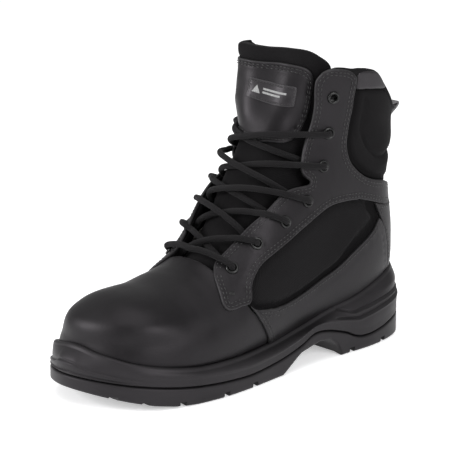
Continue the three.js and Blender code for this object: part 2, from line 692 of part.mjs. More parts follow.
// The lace's tail goes through its last eyelet and lies inside the shaft, along the lining.
function tail(sideName) {
  const side = sides[sideName];
  const level = liningInner - laceClearance - laceRadius - 0.4;
  const route = [[65, 155], [73, 141], [80, 124], [86, 107], [91, 90]].map(place).map((spot) => {
    const { v, angle } = locate(spot, side);
    return onSkin(v, angle, level);
  });
  return [...eyeletBend(eyelets[sideName][5], route[0], level, -1), ...route];
}

function halfLace(firstSide) {
  const other = { lateral: 'medial', medial: 'lateral' };
  const points = [];
  let side = firstSide;
  for (let index = 0; index < 5; index += 1) {
    points.push(...strand(index, side, index + 1, other[side], firstSide === 'lateral'));
    side = other[side];
  }
  points.push(...tail(side));
  return points;
}

function baseBar() {
  const edges = ['lateral', 'medial'].map((name) => throatPoint(0, sides[name]));
  const overs = edges.map((edge) => onSkin(edge.v, edge.angle, overLeather + 0.2));
  const centre = [0.3, 0.5, 0.7].map((f) => acrossThroat(edges[0], edges[1], f, overLeather));
  const starts = ['lateral', 'medial'].map((name, i) => eyeletBend(eyelets[name][0], overs[i], overFlange, 1));
  return [...starts[0], overs[0], ...centre, overs[1], ...starts[1].reverse()];
}

const lacePoints = [...halfLace('lateral').reverse(), ...baseBar(), ...halfLace('medial')];
const laceSection = new THREE.Shape(
  Array.from({ length: 8 }, (unused, i) => {
    const angle = (i + 0.5) * Math.PI / 4;
    return new THREE.Vector2(laceRadius * Math.cos(angle), laceRadius * Math.sin(angle));
  }));
add('lace', new THREE.ExtrudeGeometry(laceSection, {
  steps: lacePoints.length - 1, extrudePath: new HandPath(lacePoints), bevelEnabled: false,
}), laceCord);

// ---- pull tab: a loop of webbing behind the collar ----
const tabEnd = tabGap / 2 + tabWebbing;
const tabSection = 15.6;
const tabPivot = onSkin(tabSection, Math.PI, collarPuff + tabEnd + layerGap);

function tabOutline(radius) {
  const outline = new THREE.Path();
  outline.absarc(tabLength - 2 * tabEnd, 0, radius, -Math.PI / 2, Math.PI / 2, false);
  outline.absarc(0, 0, radius, Math.PI / 2, 3 * Math.PI / 2, false);
  return outline.getPoints(3);
}

const tabShape = new THREE.Shape(tabOutline(tabEnd));
tabShape.holes.push(new THREE.Path(tabOutline(tabGap / 2)));
const tabLoop = new THREE.ExtrudeGeometry(tabShape, { depth: tabWidth, bevelEnabled: false });
tabLoop.translate(0, 0, -tabWidth / 2);
tabLoop.rotateZ(THREE.MathUtils.degToRad(tabLift));
tabLoop.applyMatrix4(new THREE.Matrix4().makeBasis(
  new THREE.Vector3(0, 1, 0), new THREE.Vector3(0, 0, 1), new THREE.Vector3(1, 0, 0)));
tabLoop.translate(middle, tabPivot.y, tabPivot.z);
add('pull_tab', tabLoop, textile);

export default boot;
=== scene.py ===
import math

import bpy
import numpy as np
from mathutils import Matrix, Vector
from mathutils.bvhtree import BVHTree
from mathutils.geometry import delaunay_2d_cdt


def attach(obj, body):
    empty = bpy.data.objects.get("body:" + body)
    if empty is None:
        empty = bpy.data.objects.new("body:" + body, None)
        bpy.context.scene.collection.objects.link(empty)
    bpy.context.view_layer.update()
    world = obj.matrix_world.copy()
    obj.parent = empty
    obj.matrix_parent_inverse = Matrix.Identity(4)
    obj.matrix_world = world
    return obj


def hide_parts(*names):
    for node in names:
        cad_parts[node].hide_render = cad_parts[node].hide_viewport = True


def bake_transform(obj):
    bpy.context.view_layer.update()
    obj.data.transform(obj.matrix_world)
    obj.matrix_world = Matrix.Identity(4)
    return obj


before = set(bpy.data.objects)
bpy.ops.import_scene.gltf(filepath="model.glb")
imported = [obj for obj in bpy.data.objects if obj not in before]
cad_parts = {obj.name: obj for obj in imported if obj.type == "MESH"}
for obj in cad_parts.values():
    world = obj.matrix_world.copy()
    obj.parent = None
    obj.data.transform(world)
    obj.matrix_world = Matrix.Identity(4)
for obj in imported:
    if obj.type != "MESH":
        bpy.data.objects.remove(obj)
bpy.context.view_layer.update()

mm = 0.001
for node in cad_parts.values():
    node.select_set(False)

# Left boot, toe towards -Y, outer side towards +X. Shapes below are in millimetres.
# Sections of the foot form from toe to collar: y and z of the front, y and z of the back,
# centre x, outer and inner half widths, place of the widest point, squareness front and back, skew.
footSections = np.array([
    (-141, 36, -141, 32, -9, 1, 1, 0.60, 2.0, 2.0, 0),
    (-138, 48, -139, 16, -9, 20, 18, 0.60, 2.2, 2.6, 0),
    (-130, 57, -133, 13, -7, 33, 29, 0.62, 2.3, 2.9, 0),
    (-116, 65, -120, 12, -4, 42, 37, 0.64, 2.3, 3.0, 0),
    (-95, 71, -97, 12, -2, 49, 43, 0.66, 2.2, 3.0, 0),
    (-71, 76, -73, 12, -1, 52, 47, 0.66, 2.1, 3.0, 0),
    (-46, 84, -44, 12, 0, 51, 47, 0.64, 2.0, 3.0, 0),
    (-28, 100, -12, 13, 0, 48, 45, 0.60, 2.05, 3.0, 0.02),
    (-14, 119, 26, 15, -1, 44, 43, 0.58, 2.3, 3.0, 0.04),
    (-3, 138, 66, 17, -2, 41, 42, 0.56, 2.6, 3.0, 0.06),
    (8, 155, 108, 20, -3, 40, 40, 0.55, 2.8, 2.7, 0.08),
    (17, 170, 136, 36, -3, 39, 40, 0.54, 2.9, 2.4, 0.10),
    (25, 182, 141, 64, -4, 39, 40, 0.53, 3.0, 2.3, 0.11),
    (29, 191, 137, 95, -4, 40, 41, 0.52, 3.1, 2.2, 0.12),
    (31, 199, 133, 122, -4, 41, 42, 0.51, 3.2, 2.2, 0.13),
    (32, 207, 134, 145, -4, 43, 44, 0.50, 3.2, 2.2, 0.14),
    (31, 216, 137, 170, -4, 45, 46, 0.50, 3.2, 2.2, 0.14),
    (30, 228, 136, 200, -4, 45, 46, 0.50, 3.2, 2.2, 0.14)], float)
lastSection = len(footSections) - 1
lateral, medial = 1, -1


def runAlong(line):
    # the length from the start of a line to each of its points
    return np.concatenate([[0], np.cumsum(np.linalg.norm(np.diff(line, axis=0), axis=1))])


def pointsOf(thing):
    return np.array([v.co[:] for v in thing.data.vertices])


def markPoints(thing, name, values):
    # a number for each point, which a finish reads by this name
    attribute = thing.data.attributes.new(name, "FLOAT", "POINT")
    attribute.data.foreach_set("value", np.asarray(values, np.float32))


def smoothStep(value, low, high):
    t = np.clip((value - low) / (high - low), 0, 1)
    return t * t * (3 - 2 * t)


def sectionValues(v):
    v = np.clip(np.asarray(v, float), 0, lastSection)
    i = np.minimum(v.astype(int), lastSection - 1)
    f = (v - i)[:, None]
    a, b, c, d = (footSections[np.clip(i + k, 0, lastSection)] for k in (-1, 0, 1, 2))
    cubic = (3 * (b - c) + d - a) * f ** 3 + (2 * a - 5 * b + 4 * c - d) * f ** 2
    return 0.5 * (2 * b + (c - a) * f + cubic)


def roundPoint(v, angle):
    s = sectionValues(v)
    cosine, sine = np.cos(angle), np.sin(angle)
    power = 2 / np.where(cosine > 0, s[:, 8], s[:, 9])
    reach = np.abs(cosine) ** power
    t = np.where(cosine > 0, s[:, 7] * (1 - reach), s[:, 7] + (1 - s[:, 7]) * reach)
    half = np.where(sine >= 0, s[:, 5], s[:, 6])
    across = np.sign(sine) * half * np.abs(sine) ** power
    y = s[:, 0] + (s[:, 2] - s[:, 0]) * t + s[:, 10] * across
    z = s[:, 1] + (s[:, 3] - s[:, 1]) * t
    return np.stack([s[:, 4] + across, y, z], 1)


# The form is unrolled: v counts sections, and share runs from 0 on the front line
# to 1 (outer side) or -1 (inner side) on the back line, even along each section.
tableV = np.linspace(0, lastSection, 341)
tableAngle = math.pi * (1 - np.cos(np.linspace(0, math.pi, 241))) / 2
tableShare = np.linspace(0, 1, 301)
shareOfAngle, angleOfShare = {}, {}
for side in (lateral, medial):
    shares, angles = [], []
    for v in tableV:
        line = roundPoint(np.full(len(tableAngle), v), side * tableAngle)
        run = runAlong(line)
        run = run / run[-1]
        shares.append(run)
        angles.append(np.interp(tableShare, run, tableAngle))
    shareOfAngle[side] = np.array(shares)
    angleOfShare[side] = np.array(angles)


def tableLookup(table, v, column):
    row = np.clip(v / lastSection * (len(tableV) - 1), 0, len(tableV) - 1.001)
    column = np.clip(column, 0, table.shape[1] - 1.001)
    i, j = row.astype(int), column.astype(int)
    a, b = row - i, column - j
    low = table[i, j] * (1 - b) + table[i, j + 1] * b
    high = table[i + 1, j] * (1 - b) + table[i + 1, j + 1] * b
    return low * (1 - a) + high * a


def formPoint(spots):
    v, share = spots[:, 0], spots[:, 1]
    share = np.where(share > 1, share - 2, np.where(share < -1, share + 2, share))
    column = np.abs(share) * (len(tableShare) - 1)
    angle = np.where(share >= 0, tableLookup(angleOfShare[lateral], v, column),
                     -tableLookup(angleOfShare[medial], v, column))
    return roundPoint(v, angle)


def formFrame(spots):
    dv, ds = np.array([0.05, 0]), np.array([0, 0.006])
    alongV = (formPoint(spots + dv) - formPoint(spots - dv)) / 0.1
    alongShare = (formPoint(spots + ds) - formPoint(spots - ds)) / 0.012
    normal = np.cross(alongShare, alongV)
    normal /= np.linalg.norm(normal, axis=1)[:, None]
    return formPoint(spots), normal, alongV, alongShare


def onForm(spots, distance):
    point, normal, _, _ = formFrame(spots)
    return point + normal * np.reshape(distance, (-1, 1))


def locate(places, side):
    places = np.array(places, float)
    y, z = places[:, 0], places[:, 1]
    shift = np.zeros(len(y))
    for _ in range(5):
        low, high = np.full(len(y), 0.3), np.full(len(y), float(lastSection))
        for _ in range(36):
            v = (low + high) / 2
            s = sectionValues(v)
            turn = (s[:, 2] - s[:, 0]) * (z - s[:, 1]) - (s[:, 3] - s[:, 1]) * (y - shift - s[:, 0])
            low, high = np.where(turn > 0, v, low), np.where(turn > 0, high, v)
        s = sectionValues(v)
        t = (z - s[:, 1]) / (s[:, 3] - s[:, 1])
        front = t < s[:, 7]
        reach = np.clip(np.where(front, 1 - t / s[:, 7], (t - s[:, 7]) / (1 - s[:, 7])), 0, 1)
        power = np.where(front, s[:, 8], s[:, 9])
        cosine = np.where(front, 1, -1) * reach ** (power / 2)
        angle = np.arccos(cosine)
        half = s[:, 5] if side > 0 else s[:, 6]
        shift = s[:, 10] * side * half * np.sin(angle) ** (2 / power)
    where = np.searchsorted(tableAngle, angle).clip(1, len(tableAngle) - 1)
    column = where - 1 + (angle - tableAngle[where - 1]) / (tableAngle[where] - tableAngle[where - 1])
    return np.stack([v, side * tableLookup(shareOfAngle[side], v, column)], 1)


def seamSpot(height, share):
    # the place at this height on the front line (share 0) or the back line (share 1 or -1)
    v = np.linspace(1 if share == 0 else 10.2, lastSection, 400)
    z = formPoint(np.stack([v, np.full(400, float(share))], 1))[:, 2]
    return [float(np.interp(height, z, v)), float(share)]


# ---- outlines ----
sheetScale = np.array([18.0, 150.0])


def splineThrough(points, spacing=1.2):
    points = np.array(points, float)
    if len(points) == 2:
        count = max(int(np.linalg.norm(points[1] - points[0]) / spacing), 1)
        return points[0] + (points[1] - points[0]) * np.linspace(0, 1, count + 1)[:, None]
    padded = np.vstack([2 * points[0] - points[1], points, 2 * points[-1] - points[-2]])
    fine = []
    for a, b, c, d in zip(padded, padded[1:], padded[2:], padded[3:]):
        f = np.linspace(0, 1, 24, endpoint=False)[:, None]
        cubic = (3 * (b - c) + d - a) * f ** 3 + (2 * a - 5 * b + 4 * c - d) * f ** 2
        fine.append(0.5 * (2 * b + (c - a) * f + cubic))
    fine = np.vstack(fine + [points[-1:]])
    run = runAlong(fine)
    even = np.linspace(0, run[-1], max(int(run[-1] / spacing), 2) + 1)
    return np.stack([np.interp(even, run, fine[:, k]) for k in range(points.shape[1])], 1)


def formLine(places, side, flip=False):
    # places are (y, z) pairs in the side view, or ("front", z) and ("back", z) on the seam lines
    spots = []
    for place in places:
        if place[0] == "front":
            spots.append(seamSpot(place[1], 0))
        elif place[0] == "back":
            spots.append(seamSpot(place[1], side))
        else:
            spots.append(list(locate([place], side)[0]))
    line = splineThrough(np.array(spots) * sheetScale) / sheetScale
    return line[::-1] if flip else line


def closeOutline(lines, roundings=3):
    loop = np.vstack([line[:-1] if np.allclose(line[-1], after[0]) else line
                      for line, after in zip(lines, lines[1:] + lines[:1])])
    for _ in range(roundings):
        loop = 0.5 * loop + 0.25 * (np.roll(loop, 1, 0) + np.roll(loop, -1, 0))
    scaled = np.vstack([loop, loop[:1]]) * sheetScale
    run = runAlong(scaled)
    even = np.linspace(0, run[-1], int(run[-1] / 1.2), endpoint=False)
    return np.stack([np.interp(even, run, scaled[:, k]) for k in range(2)], 1) / sheetScale


def insideLoop(points, loop):
    inside = np.zeros(len(points), bool)
    for a, b in zip(loop, np.roll(loop, -1, 0)):
        if a[1] == b[1]:
            continue
        crosses = (a[1] > points[:, 1]) != (b[1] > points[:, 1])
        at = a[0] + (points[:, 1] - a[1]) / (b[1] - a[1]) * (b[0] - a[0])
        inside ^= crosses & (points[:, 0] < at)
    return inside


def distanceToLine(points, line, closed=True):
    ends = np.roll(line, -1, 0) if closed else line[1:]
    starts = line if closed else line[:-1]
    best = np.full(len(points), 1e9)
    for a, b in zip(starts, ends):
        run = b - a
        share = np.clip(((points - a) @ run) / max(run @ run, 1e-9), 0, 1)
        best = np.minimum(best, ((points - a - share[:, None] * run) ** 2).sum(1))
    return np.sqrt(best)


def moveOnForm(spots, direction, reach):
    # moves spots over the form by a 3-D direction, to first order
    _, _, alongV, alongShare = formFrame(spots)
    vv, ss, vs = (alongV ** 2).sum(1), (alongShare ** 2).sum(1), (alongV * alongShare).sum(1)
    pv, ps = (alongV * direction).sum(1), (alongShare * direction).sum(1)
    det = vv * ss - vs ** 2
    step = np.stack([(ss * pv - vs * ps) / det, (vv * ps - vs * pv) / det], 1)
    return spots + step * np.reshape(reach, (-1, 1))


def inwardOf(loop, closed=True):
    point, normal, _, _ = formFrame(loop)
    if closed:
        tangent = np.roll(point, -1, 0) - np.roll(point, 1, 0)
    else:
        tangent = np.gradient(point, axis=0)
    tangent /= np.maximum(np.linalg.norm(tangent, axis=1), 1e-9)[:, None]
    return np.cross(normal, tangent)


def turnedInwards(loop):
    flat = loop * sheetScale
    probe = moveOnForm(loop[:1], inwardOf(loop)[:1], 0.2)
    return 1 if insideLoop(probe * sheetScale, flat)[0] else -1


def newObject(name, vertices, faces, uvs=None):
    mesh = bpy.data.meshes.new(name)
    mesh.from_pydata([tuple(p) for p in np.asarray(vertices) * mm], [], [tuple(f) for f in faces])
    mesh.validate()
    if uvs is not None:
        layer = mesh.uv_layers.new(name="surface")
        corners = np.zeros(len(mesh.loops), int)
        mesh.loops.foreach_get("vertex_index", corners)
        layer.data.foreach_set("uv", (np.asarray(uvs)[corners] * mm).ravel())
    thing = bpy.data.objects.new(name, mesh)
    bpy.context.scene.collection.objects.link(thing)
    mesh.polygons.foreach_set("use_smooth", [True] * len(mesh.polygons))
    return thing


def unrolled(points):
    # weave coordinates: round the leg and up it
    turn = np.arctan2(points[:, 0] + 4, -(points[:, 1] - 82))
    return np.stack([turn * 45, points[:, 2]], 1)


def sideways(points):
    return points[:, [1, 2]]


def cutPanel(name, outline, inner, outer, edge=0.8, grid=2.8, holes=(), shape=None, weave=sideways):
    # a panel of the form between two distances, with a rounded outer edge
    loops = [outline] + list(holes)
    flip = turnedInwards(outline)
    rings = []
    direction = inwardOf(outline) * flip
    for reach in (0.25 * edge, 0.6 * edge, edge, 1.8, 3.0, 4.4):
        rings.append(moveOnForm(outline, direction, reach))
    for hole in holes:
        away = -inwardOf(hole) * turnedInwards(hole)
        rings.append(moveOnForm(hole, away, 0.7))
        rings.append(moveOnForm(hole, away, 1.8))
    low, high = outline.min(0) * sheetScale, outline.max(0) * sheetScale
    across = np.arange(low[1], high[1], grid)
    up = np.arange(low[0], high[0], grid * 0.75)
    inside = np.stack([g.ravel() for g in np.meshgrid(up, across, indexing="ij")], 1) / sheetScale
    spots = np.vstack(rings + [inside])
    keep = insideLoop(spots * sheetScale, outline * sheetScale)
    for hole in holes:
        keep &= ~insideLoop(spots * sheetScale, hole * sheetScale)
    spots = spots[keep]
    places = formPoint(spots)
    borders = [formPoint(loop) for loop in loops]
    gap = np.min([distanceToLine(places, border) for border in borders], 0)
    spots = spots[gap > 0.16]
    # thin out crowded spots: rings come first, so they win over the plain grid
    cell = np.round(formPoint(spots) / 0.5).astype(np.int64)
    _, first = np.unique(cell, axis=0, return_index=True)
    spots = spots[np.sort(first)]
    count = [len(loop) for loop in loops]
    allSpots = np.vstack(loops + [spots])
    starts = np.cumsum([0] + count[:-1])
    edges = [(s + k, s + (k + 1) % n) for s, n in zip(starts, count) for k in range(n)]
    result = delaunay_2d_cdt([Vector(p) for p in allSpots * sheetScale], edges, [], 0, 1e-6)
    flat = np.array([tuple(p) for p in result[0]])
    triangles = np.array([f for f in result[2]])
    centre = flat[triangles].mean(1)
    keep = insideLoop(centre, outline * sheetScale)
    for hole in holes:
        keep &= ~insideLoop(centre, hole * sheetScale)
    triangles = triangles[keep]
    spots = flat / sheetScale
    point, normal, _, _ = formFrame(spots)
    gap = np.min([distanceToLine(point, border) for border in borders], 0)
    drop = edge * (1 - np.sqrt(1 - (1 - np.clip(gap / edge, 0, 1)) ** 2))
    height = outer - drop
    depth = np.full(len(height), float(inner))
    if shape:
        height, depth = shape(point, gap, height, depth)
    facing = np.cross(point[triangles[:, 1]] - point[triangles[:, 0]],
                      point[triangles[:, 2]] - point[triangles[:, 0]])
    turned = (facing * normal[triangles[:, 0]]).sum(1) < 0
    triangles[turned] = triangles[turned][:, ::-1]
    top = point + normal * height[:, None]
    bottom = point + normal * depth[:, None]
    n = len(top)
    used = {}
    for tri in triangles.tolist():
        for a, b in ((tri[0], tri[1]), (tri[1], tri[2]), (tri[2], tri[0])):
            if (b, a) in used:
                del used[(b, a)]
            else:
                used[(a, b)] = True
    faces = triangles.tolist() + (triangles[:, ::-1] + n).tolist()
    faces += [(b, a, a + n, b + n) for a, b in used]
    piece = newObject(name, np.vstack([top, bottom]), faces, weave(np.vstack([top, bottom])))
    # painted highlight: marks a band along the cut edges, which the leather finish lightens as if the rounded
    # edge caught the light
    markPoints(piece, "paintedEdgeHighlight", np.tile(1 - smoothStep(gap, 0.15, 0.9), 2))
    return piece


print("form ready")

# ---- view ----
view = {"place": (1.1472, -1.0652, 0.5166), "target": (-0.00512, -0.00555, 0.10007), "lens": 183.7}
bpy.ops.object.select_all(action="DESELECT")
bpy.ops.object.camera_add(location=view["place"])
camera = bpy.context.object
camera.name = "camera"
camera.data.lens = view["lens"]
camera.data.sensor_width = 36
camera.data.clip_start = 0.05
camera.data.clip_end = 100
camera.rotation_euler = (Vector(view["target"]) - Vector(view["place"])).to_track_quat("-Z", "Y").to_euler()
bpy.context.scene.camera = camera


# ---- finishes ----
class Wire:
    # one output in a finish, which takes part in plain arithmetic
    def __init__(self, finish, socket):
        self.finish = finish
        self.socket = socket

    def sum(self, operation, first, second=0.0):
        return self.finish.node("ShaderNodeMath", {"operation": operation}, {0: first, 1: second})

    def __add__(self, other):
        return self.sum("ADD", self, other)

    def __radd__(self, other):
        return self.sum("ADD", other, self)

    def __sub__(self, other):
        return self.sum("SUBTRACT", self, other)

    def __rsub__(self, other):
        return self.sum("SUBTRACT", other, self)

    def __mul__(self, other):
        return self.sum("MULTIPLY", self, other)

    def __rmul__(self, other):
        return self.sum("MULTIPLY", other, self)

    def __pow__(self, other):
        return self.sum("POWER", self, other)

    def sine(self):
        return self.sum("SINE", self)

    def size(self):
        return self.sum("ABSOLUTE", self)

    def over(self, limit):
        return self.sum("GREATER_THAN", self, limit)

    def spread(self, low, high, start=0.0, end=1.0):
        sockets = {0: self, 1: low, 2: high, 3: start, 4: end}
        return self.finish.node("ShaderNodeMapRange", {"interpolation_type": "SMOOTHSTEP"}, sockets)


class Finish:
    def __init__(self, name, preview):
        self.material = bpy.data.materials.new(name)
        self.material.use_nodes = True
        self.material.diffuse_color = (*preview, 1)
        self.material.node_tree.nodes.clear()

    def node(self, kind, settings=None, sockets=None, output=0):
        made = self.material.node_tree.nodes.new(kind)
        for key, value in (settings or {}).items():
            setattr(made, key, value)
        for key, value in (sockets or {}).items():
            if isinstance(value, Wire):
                self.material.node_tree.links.new(value.socket, made.inputs[key])
            else:
                made.inputs[key].default_value = value
        return Wire(self, made.outputs[output])

    def place(self):
        return self.node("ShaderNodeTexCoord", output="Object")

    def surface(self):
        return self.node("ShaderNodeUVMap", {"uv_map": "surface"})

    def part(self, vector, axis):
        return self.node("ShaderNodeSeparateXYZ", sockets={0: vector}, output=axis)

    def noise(self, size, detail=2.0, roughness=0.5, place=None):
        sockets = {"Vector": place or self.place(), "Scale": 1 / size, "Detail": detail,
                   "Roughness": roughness}
        return self.node("ShaderNodeTexNoise", sockets=sockets)

    def cells(self, size, place=None, feature="F1"):
        sockets = {"Vector": place or self.place(), "Scale": 1 / size}
        return self.node("ShaderNodeTexVoronoi", {"feature": feature}, sockets)

    def mark(self, name):
        return self.node("ShaderNodeAttribute", {"attribute_name": name}, output="Fac")

    def blend(self, share, first, second):
        sockets = {0: share, 6: first, 7: second}
        return self.node("ShaderNodeMix", {"data_type": "RGBA"}, sockets, output=2)

    def bump(self, height, depth, strength=1.0, under=None):
        sockets = {"Height": height, "Distance": depth, "Strength": strength}
        if under:
            sockets["Normal"] = under
        return self.node("ShaderNodeBump", sockets=sockets)

    def close(self, **values):
        sockets = {key.replace("_", " "): value for key, value in values.items()}
        shader = self.node("ShaderNodeBsdfPrincipled", sockets=sockets)
        out = self.material.node_tree.nodes.new("ShaderNodeOutputMaterial")
        self.material.node_tree.links.new(shader.socket, out.inputs["Surface"])
        return self.material


def grey(value, warm=0.0):
    return (value * (1 + warm), value, value * (1 + 1.2 * warm), 1)


blackTint = (1.0, 0.93, 1.0, 1)


def leatherFinish(name, look):
    f = Finish(name, (0.03, 0.03, 0.03))
    patches = f.noise(look["patch"], 3, 0.55)
    pores = f.cells(look["grain"])
    fine = f.noise(look["grain"] * 0.45, 2, 0.6)
    creases = f.noise(look["grain"] * 6, 4, 0.6)
    paintedEdgeHighlight = f.mark("paintedEdgeHighlight")
    tone = f.blend(patches.spread(0.3, 0.7), grey(look["dark"], 0.08), grey(look["light"], 0.05))
    tone = f.blend(pores.spread(0.0, 0.5) * 0.25, tone, grey(look["light"] * 1.3, 0.05))
    # painted highlight: lighter colour along the cut edges
    tone = f.blend(paintedEdgeHighlight * look["paintedEdgeHighlightShare"], tone, grey(look["paintedEdgeHighlight"], 0.02))
    rough = patches.spread(0.25, 0.75, look["rough"] - 0.05, look["rough"] + 0.05) + fine * 0.06 - paintedEdgeHighlight * 0.05
    normal = f.bump(creases, 0.00035, 0.25)
    normal = f.bump(pores * 0.7 + fine * 0.5, 0.00012, look["bump"], normal)
    return f.close(Base_Color=tone, Roughness=rough, Normal=normal, Specular_IOR_Level=look["shine"],
                   Specular_Tint=blackTint)


def clothFinish(name, look):
    f = Finish(name, (0.02, 0.02, 0.02))
    spot = f.surface()
    along, up = f.part(spot, 0), f.part(spot, 1)
    turn = 6.2832 / look["thread"]
    wobble = f.noise(look["thread"] * 5, 1, 0.5)
    first = (along * turn + wobble * 2.0).sine()
    second = (up * turn * look["ratio"] + wobble * 2.0).sine()
    threads = first * second * 0.5 + 0.5
    fuzz = f.noise(look["thread"] * 0.5, 2, 0.7)
    patches = f.noise(0.03, 2, 0.5)
    tone = f.blend(threads.spread(0.15, 0.85), grey(look["dark"], 0.03), grey(look["light"], 0.03))
    tone = f.blend(fuzz.spread(0.45, 0.75) * 0.3, tone, grey(look["light"] * 1.5, 0.02))
    tone = f.blend(patches.spread(0.3, 0.7) * 0.25, tone, grey(look["dark"] * 0.7, 0.02))
    # painted shade: spots marked deep, in the recessed bands at panel borders, are darkened towards near
    # black where shadow falls
    tone = f.blend(f.mark("deep") * 0.8, tone, grey(0.0012))
    rough = fuzz.spread(0.2, 0.8, 0.82, 0.98)
    normal = f.bump(threads + fuzz * 0.35, look["relief"], look["bump"])
    return f.close(Base_Color=tone, Roughness=rough, Normal=normal, Sheen_Weight=look["sheen"],
                   Sheen_Roughness=0.4,
                   Specular_IOR_Level=0.10, Specular_Tint=blackTint)


def mouldedFinish(name, look):
    f = Finish(name, (0.03, 0.03, 0.03))
    patches = f.noise(0.045, 3, 0.6)
    skin = f.noise(0.0011, 2, 0.65)
    specks = f.noise(0.004, 3, 0.7)
    tone = f.blend(patches.spread(0.3, 0.7), grey(look["dark"], 0.06), grey(look["light"], 0.06))
    rough = patches.spread(0.3, 0.7, look["rough"] - 0.05, look["rough"] + 0.05) + specks * 0.08
    normal = f.bump(skin + specks * 0.6, 0.00013, look["bump"])
    return f.close(Base_Color=tone, Roughness=rough, Normal=normal, Specular_IOR_Level=look["shine"],
                   Specular_Tint=blackTint)


def plainFinish(name, tone, second, size, rough, metal, relief, glow=0.0):
    f = Finish(name, tone[:3])
    patches = f.noise(size, 3, 0.6)
    fine = f.noise(size * 0.12, 2, 0.6)
    colour = f.blend(patches.spread(0.3, 0.7), tone, second)
    normal = f.bump(patches + fine * 0.5, relief, 0.5)
    return f.close(Base_Color=colour, Roughness=fine.spread(0.2, 0.8, rough - 0.08, rough + 0.08),
                   Metallic=metal,
                   Normal=normal, Emission_Color=colour, Emission_Strength=glow)


# the edge colour and its share paint a highlight along the cut edges
smoothLeather = {"patch": 0.028, "grain": 0.0009, "dark": 0.0042, "light": 0.0078, "paintedEdgeHighlight": 0.035,
                 "paintedEdgeHighlightShare": 0.7,
                 "rough": 0.40, "bump": 0.35, "shine": 0.18}
upperLeather = leatherFinish("smooth_leather", smoothLeather)
collarLeather = leatherFinish("collar_leather",
                              {**smoothLeather, "rough": 0.34, "light": 0.018, "shine": 0.3})
softCloth = clothFinish("soft_textile", {"thread": 0.0011, "ratio": 1.0, "dark": 0.003, "light": 0.007,
                                         "relief": 0.0002, "bump": 0.5, "sheen": 0.02})
sideCloth = clothFinish("side_mesh_cloth", {"thread": 0.0014, "ratio": 0.7, "dark": 0.0035, "light": 0.0075,
                                            "relief": 0.0003, "bump": 0.6, "sheen": 0.02})
liningFinish = clothFinish("lining_cloth", {"thread": 0.0021, "ratio": 1.0, "dark": 0.012, "light": 0.022,
                                            "relief": 0.0005, "bump": 0.7, "sheen": 0.1})
tabFinish = clothFinish("pull_tab_webbing", {"thread": 0.0016, "ratio": 1.3, "dark": 0.045, "light": 0.16,
                                             "relief": 0.0005, "bump": 0.8, "sheen": 0.1})
laceFinish = clothFinish("lace_braid", {"thread": 0.0014, "ratio": 1.0, "dark": 0.0045, "light": 0.013,
                                        "relief": 0.0004, "bump": 0.9, "sheen": 0.04})
threadFinish = plainFinish("sewing_thread", grey(0.005), grey(0.018), 0.0012, 0.36, 0.0, 0.0001)
soleFinish = mouldedFinish("sole_plastic",
                           {"dark": 0.0062, "light": 0.0105, "rough": 0.43, "bump": 0.3, "shine": 0.22})
eyeletFinish = plainFinish("black_eyelet_metal", grey(0.012), grey(0.03), 0.002, 0.27, 0.75, 0.00005)
foamFinish = plainFinish("grey_foam", (0.18, 0.175, 0.16, 1), (0.26, 0.25, 0.23, 1), 0.002, 0.9, 0.0, 0.0006)
steelFinish = plainFinish("bare_steel", (0.42, 0.43, 0.44, 1), (0.55, 0.56, 0.57, 1), 0.012, 0.35, 1.0,
                          0.0001)
boardFinish = plainFinish("insole_board", (0.25, 0.18, 0.11, 1), (0.33, 0.25, 0.16, 1), 0.003, 0.85, 0.0,
                          0.0003)
markFinish = plainFinish("label_print", grey(0.17), grey(0.24), 0.001, 0.6, 0.0, 0.00005)
floorFinish = plainFinish("pale_floor", (0.9, 0.9, 0.905, 1), (0.905, 0.905, 0.91, 1), 0.5, 0.9, 0.0,
                          0.0001, 0.45)


def dress(thing, material, body="boot", replaces=()):
    thing.data.materials.clear()
    thing.data.materials.append(material)
    if body:
        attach(thing, body)
    if replaces:
        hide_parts(*replaces)
    return thing


hiddenFinishes = {
    "steel_toe_cap": steelFinish, "steel_shank": steelFinish, "toe_cap_edge_trim": foamFinish,
    "heel_counter": boardFinish, "insole_board": boardFinish, "ankle_foam_lateral": foamFinish,
    "ankle_foam_medial": foamFinish, "vamp_lining": None,
    "tongue_gusset_lateral": None, "tongue_gusset_medial": None}
footbedFinish = clothFinish("footbed_cloth", {"thread": 0.0018, "ratio": 1.0, "dark": 0.02, "light": 0.035,
                                              "relief": 0.0003, "bump": 0.6, "sheen": 0.05})
bodyCloth = plainFinish("inner_cloth", grey(0.010), grey(0.018), 0.0025, 0.92, 0.0, 0.0004)
for name, material in hiddenFinishes.items():
    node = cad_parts[name]
    node.data.materials.clear()
    node.data.materials.append(material or bodyCloth)
print("finishes ready")


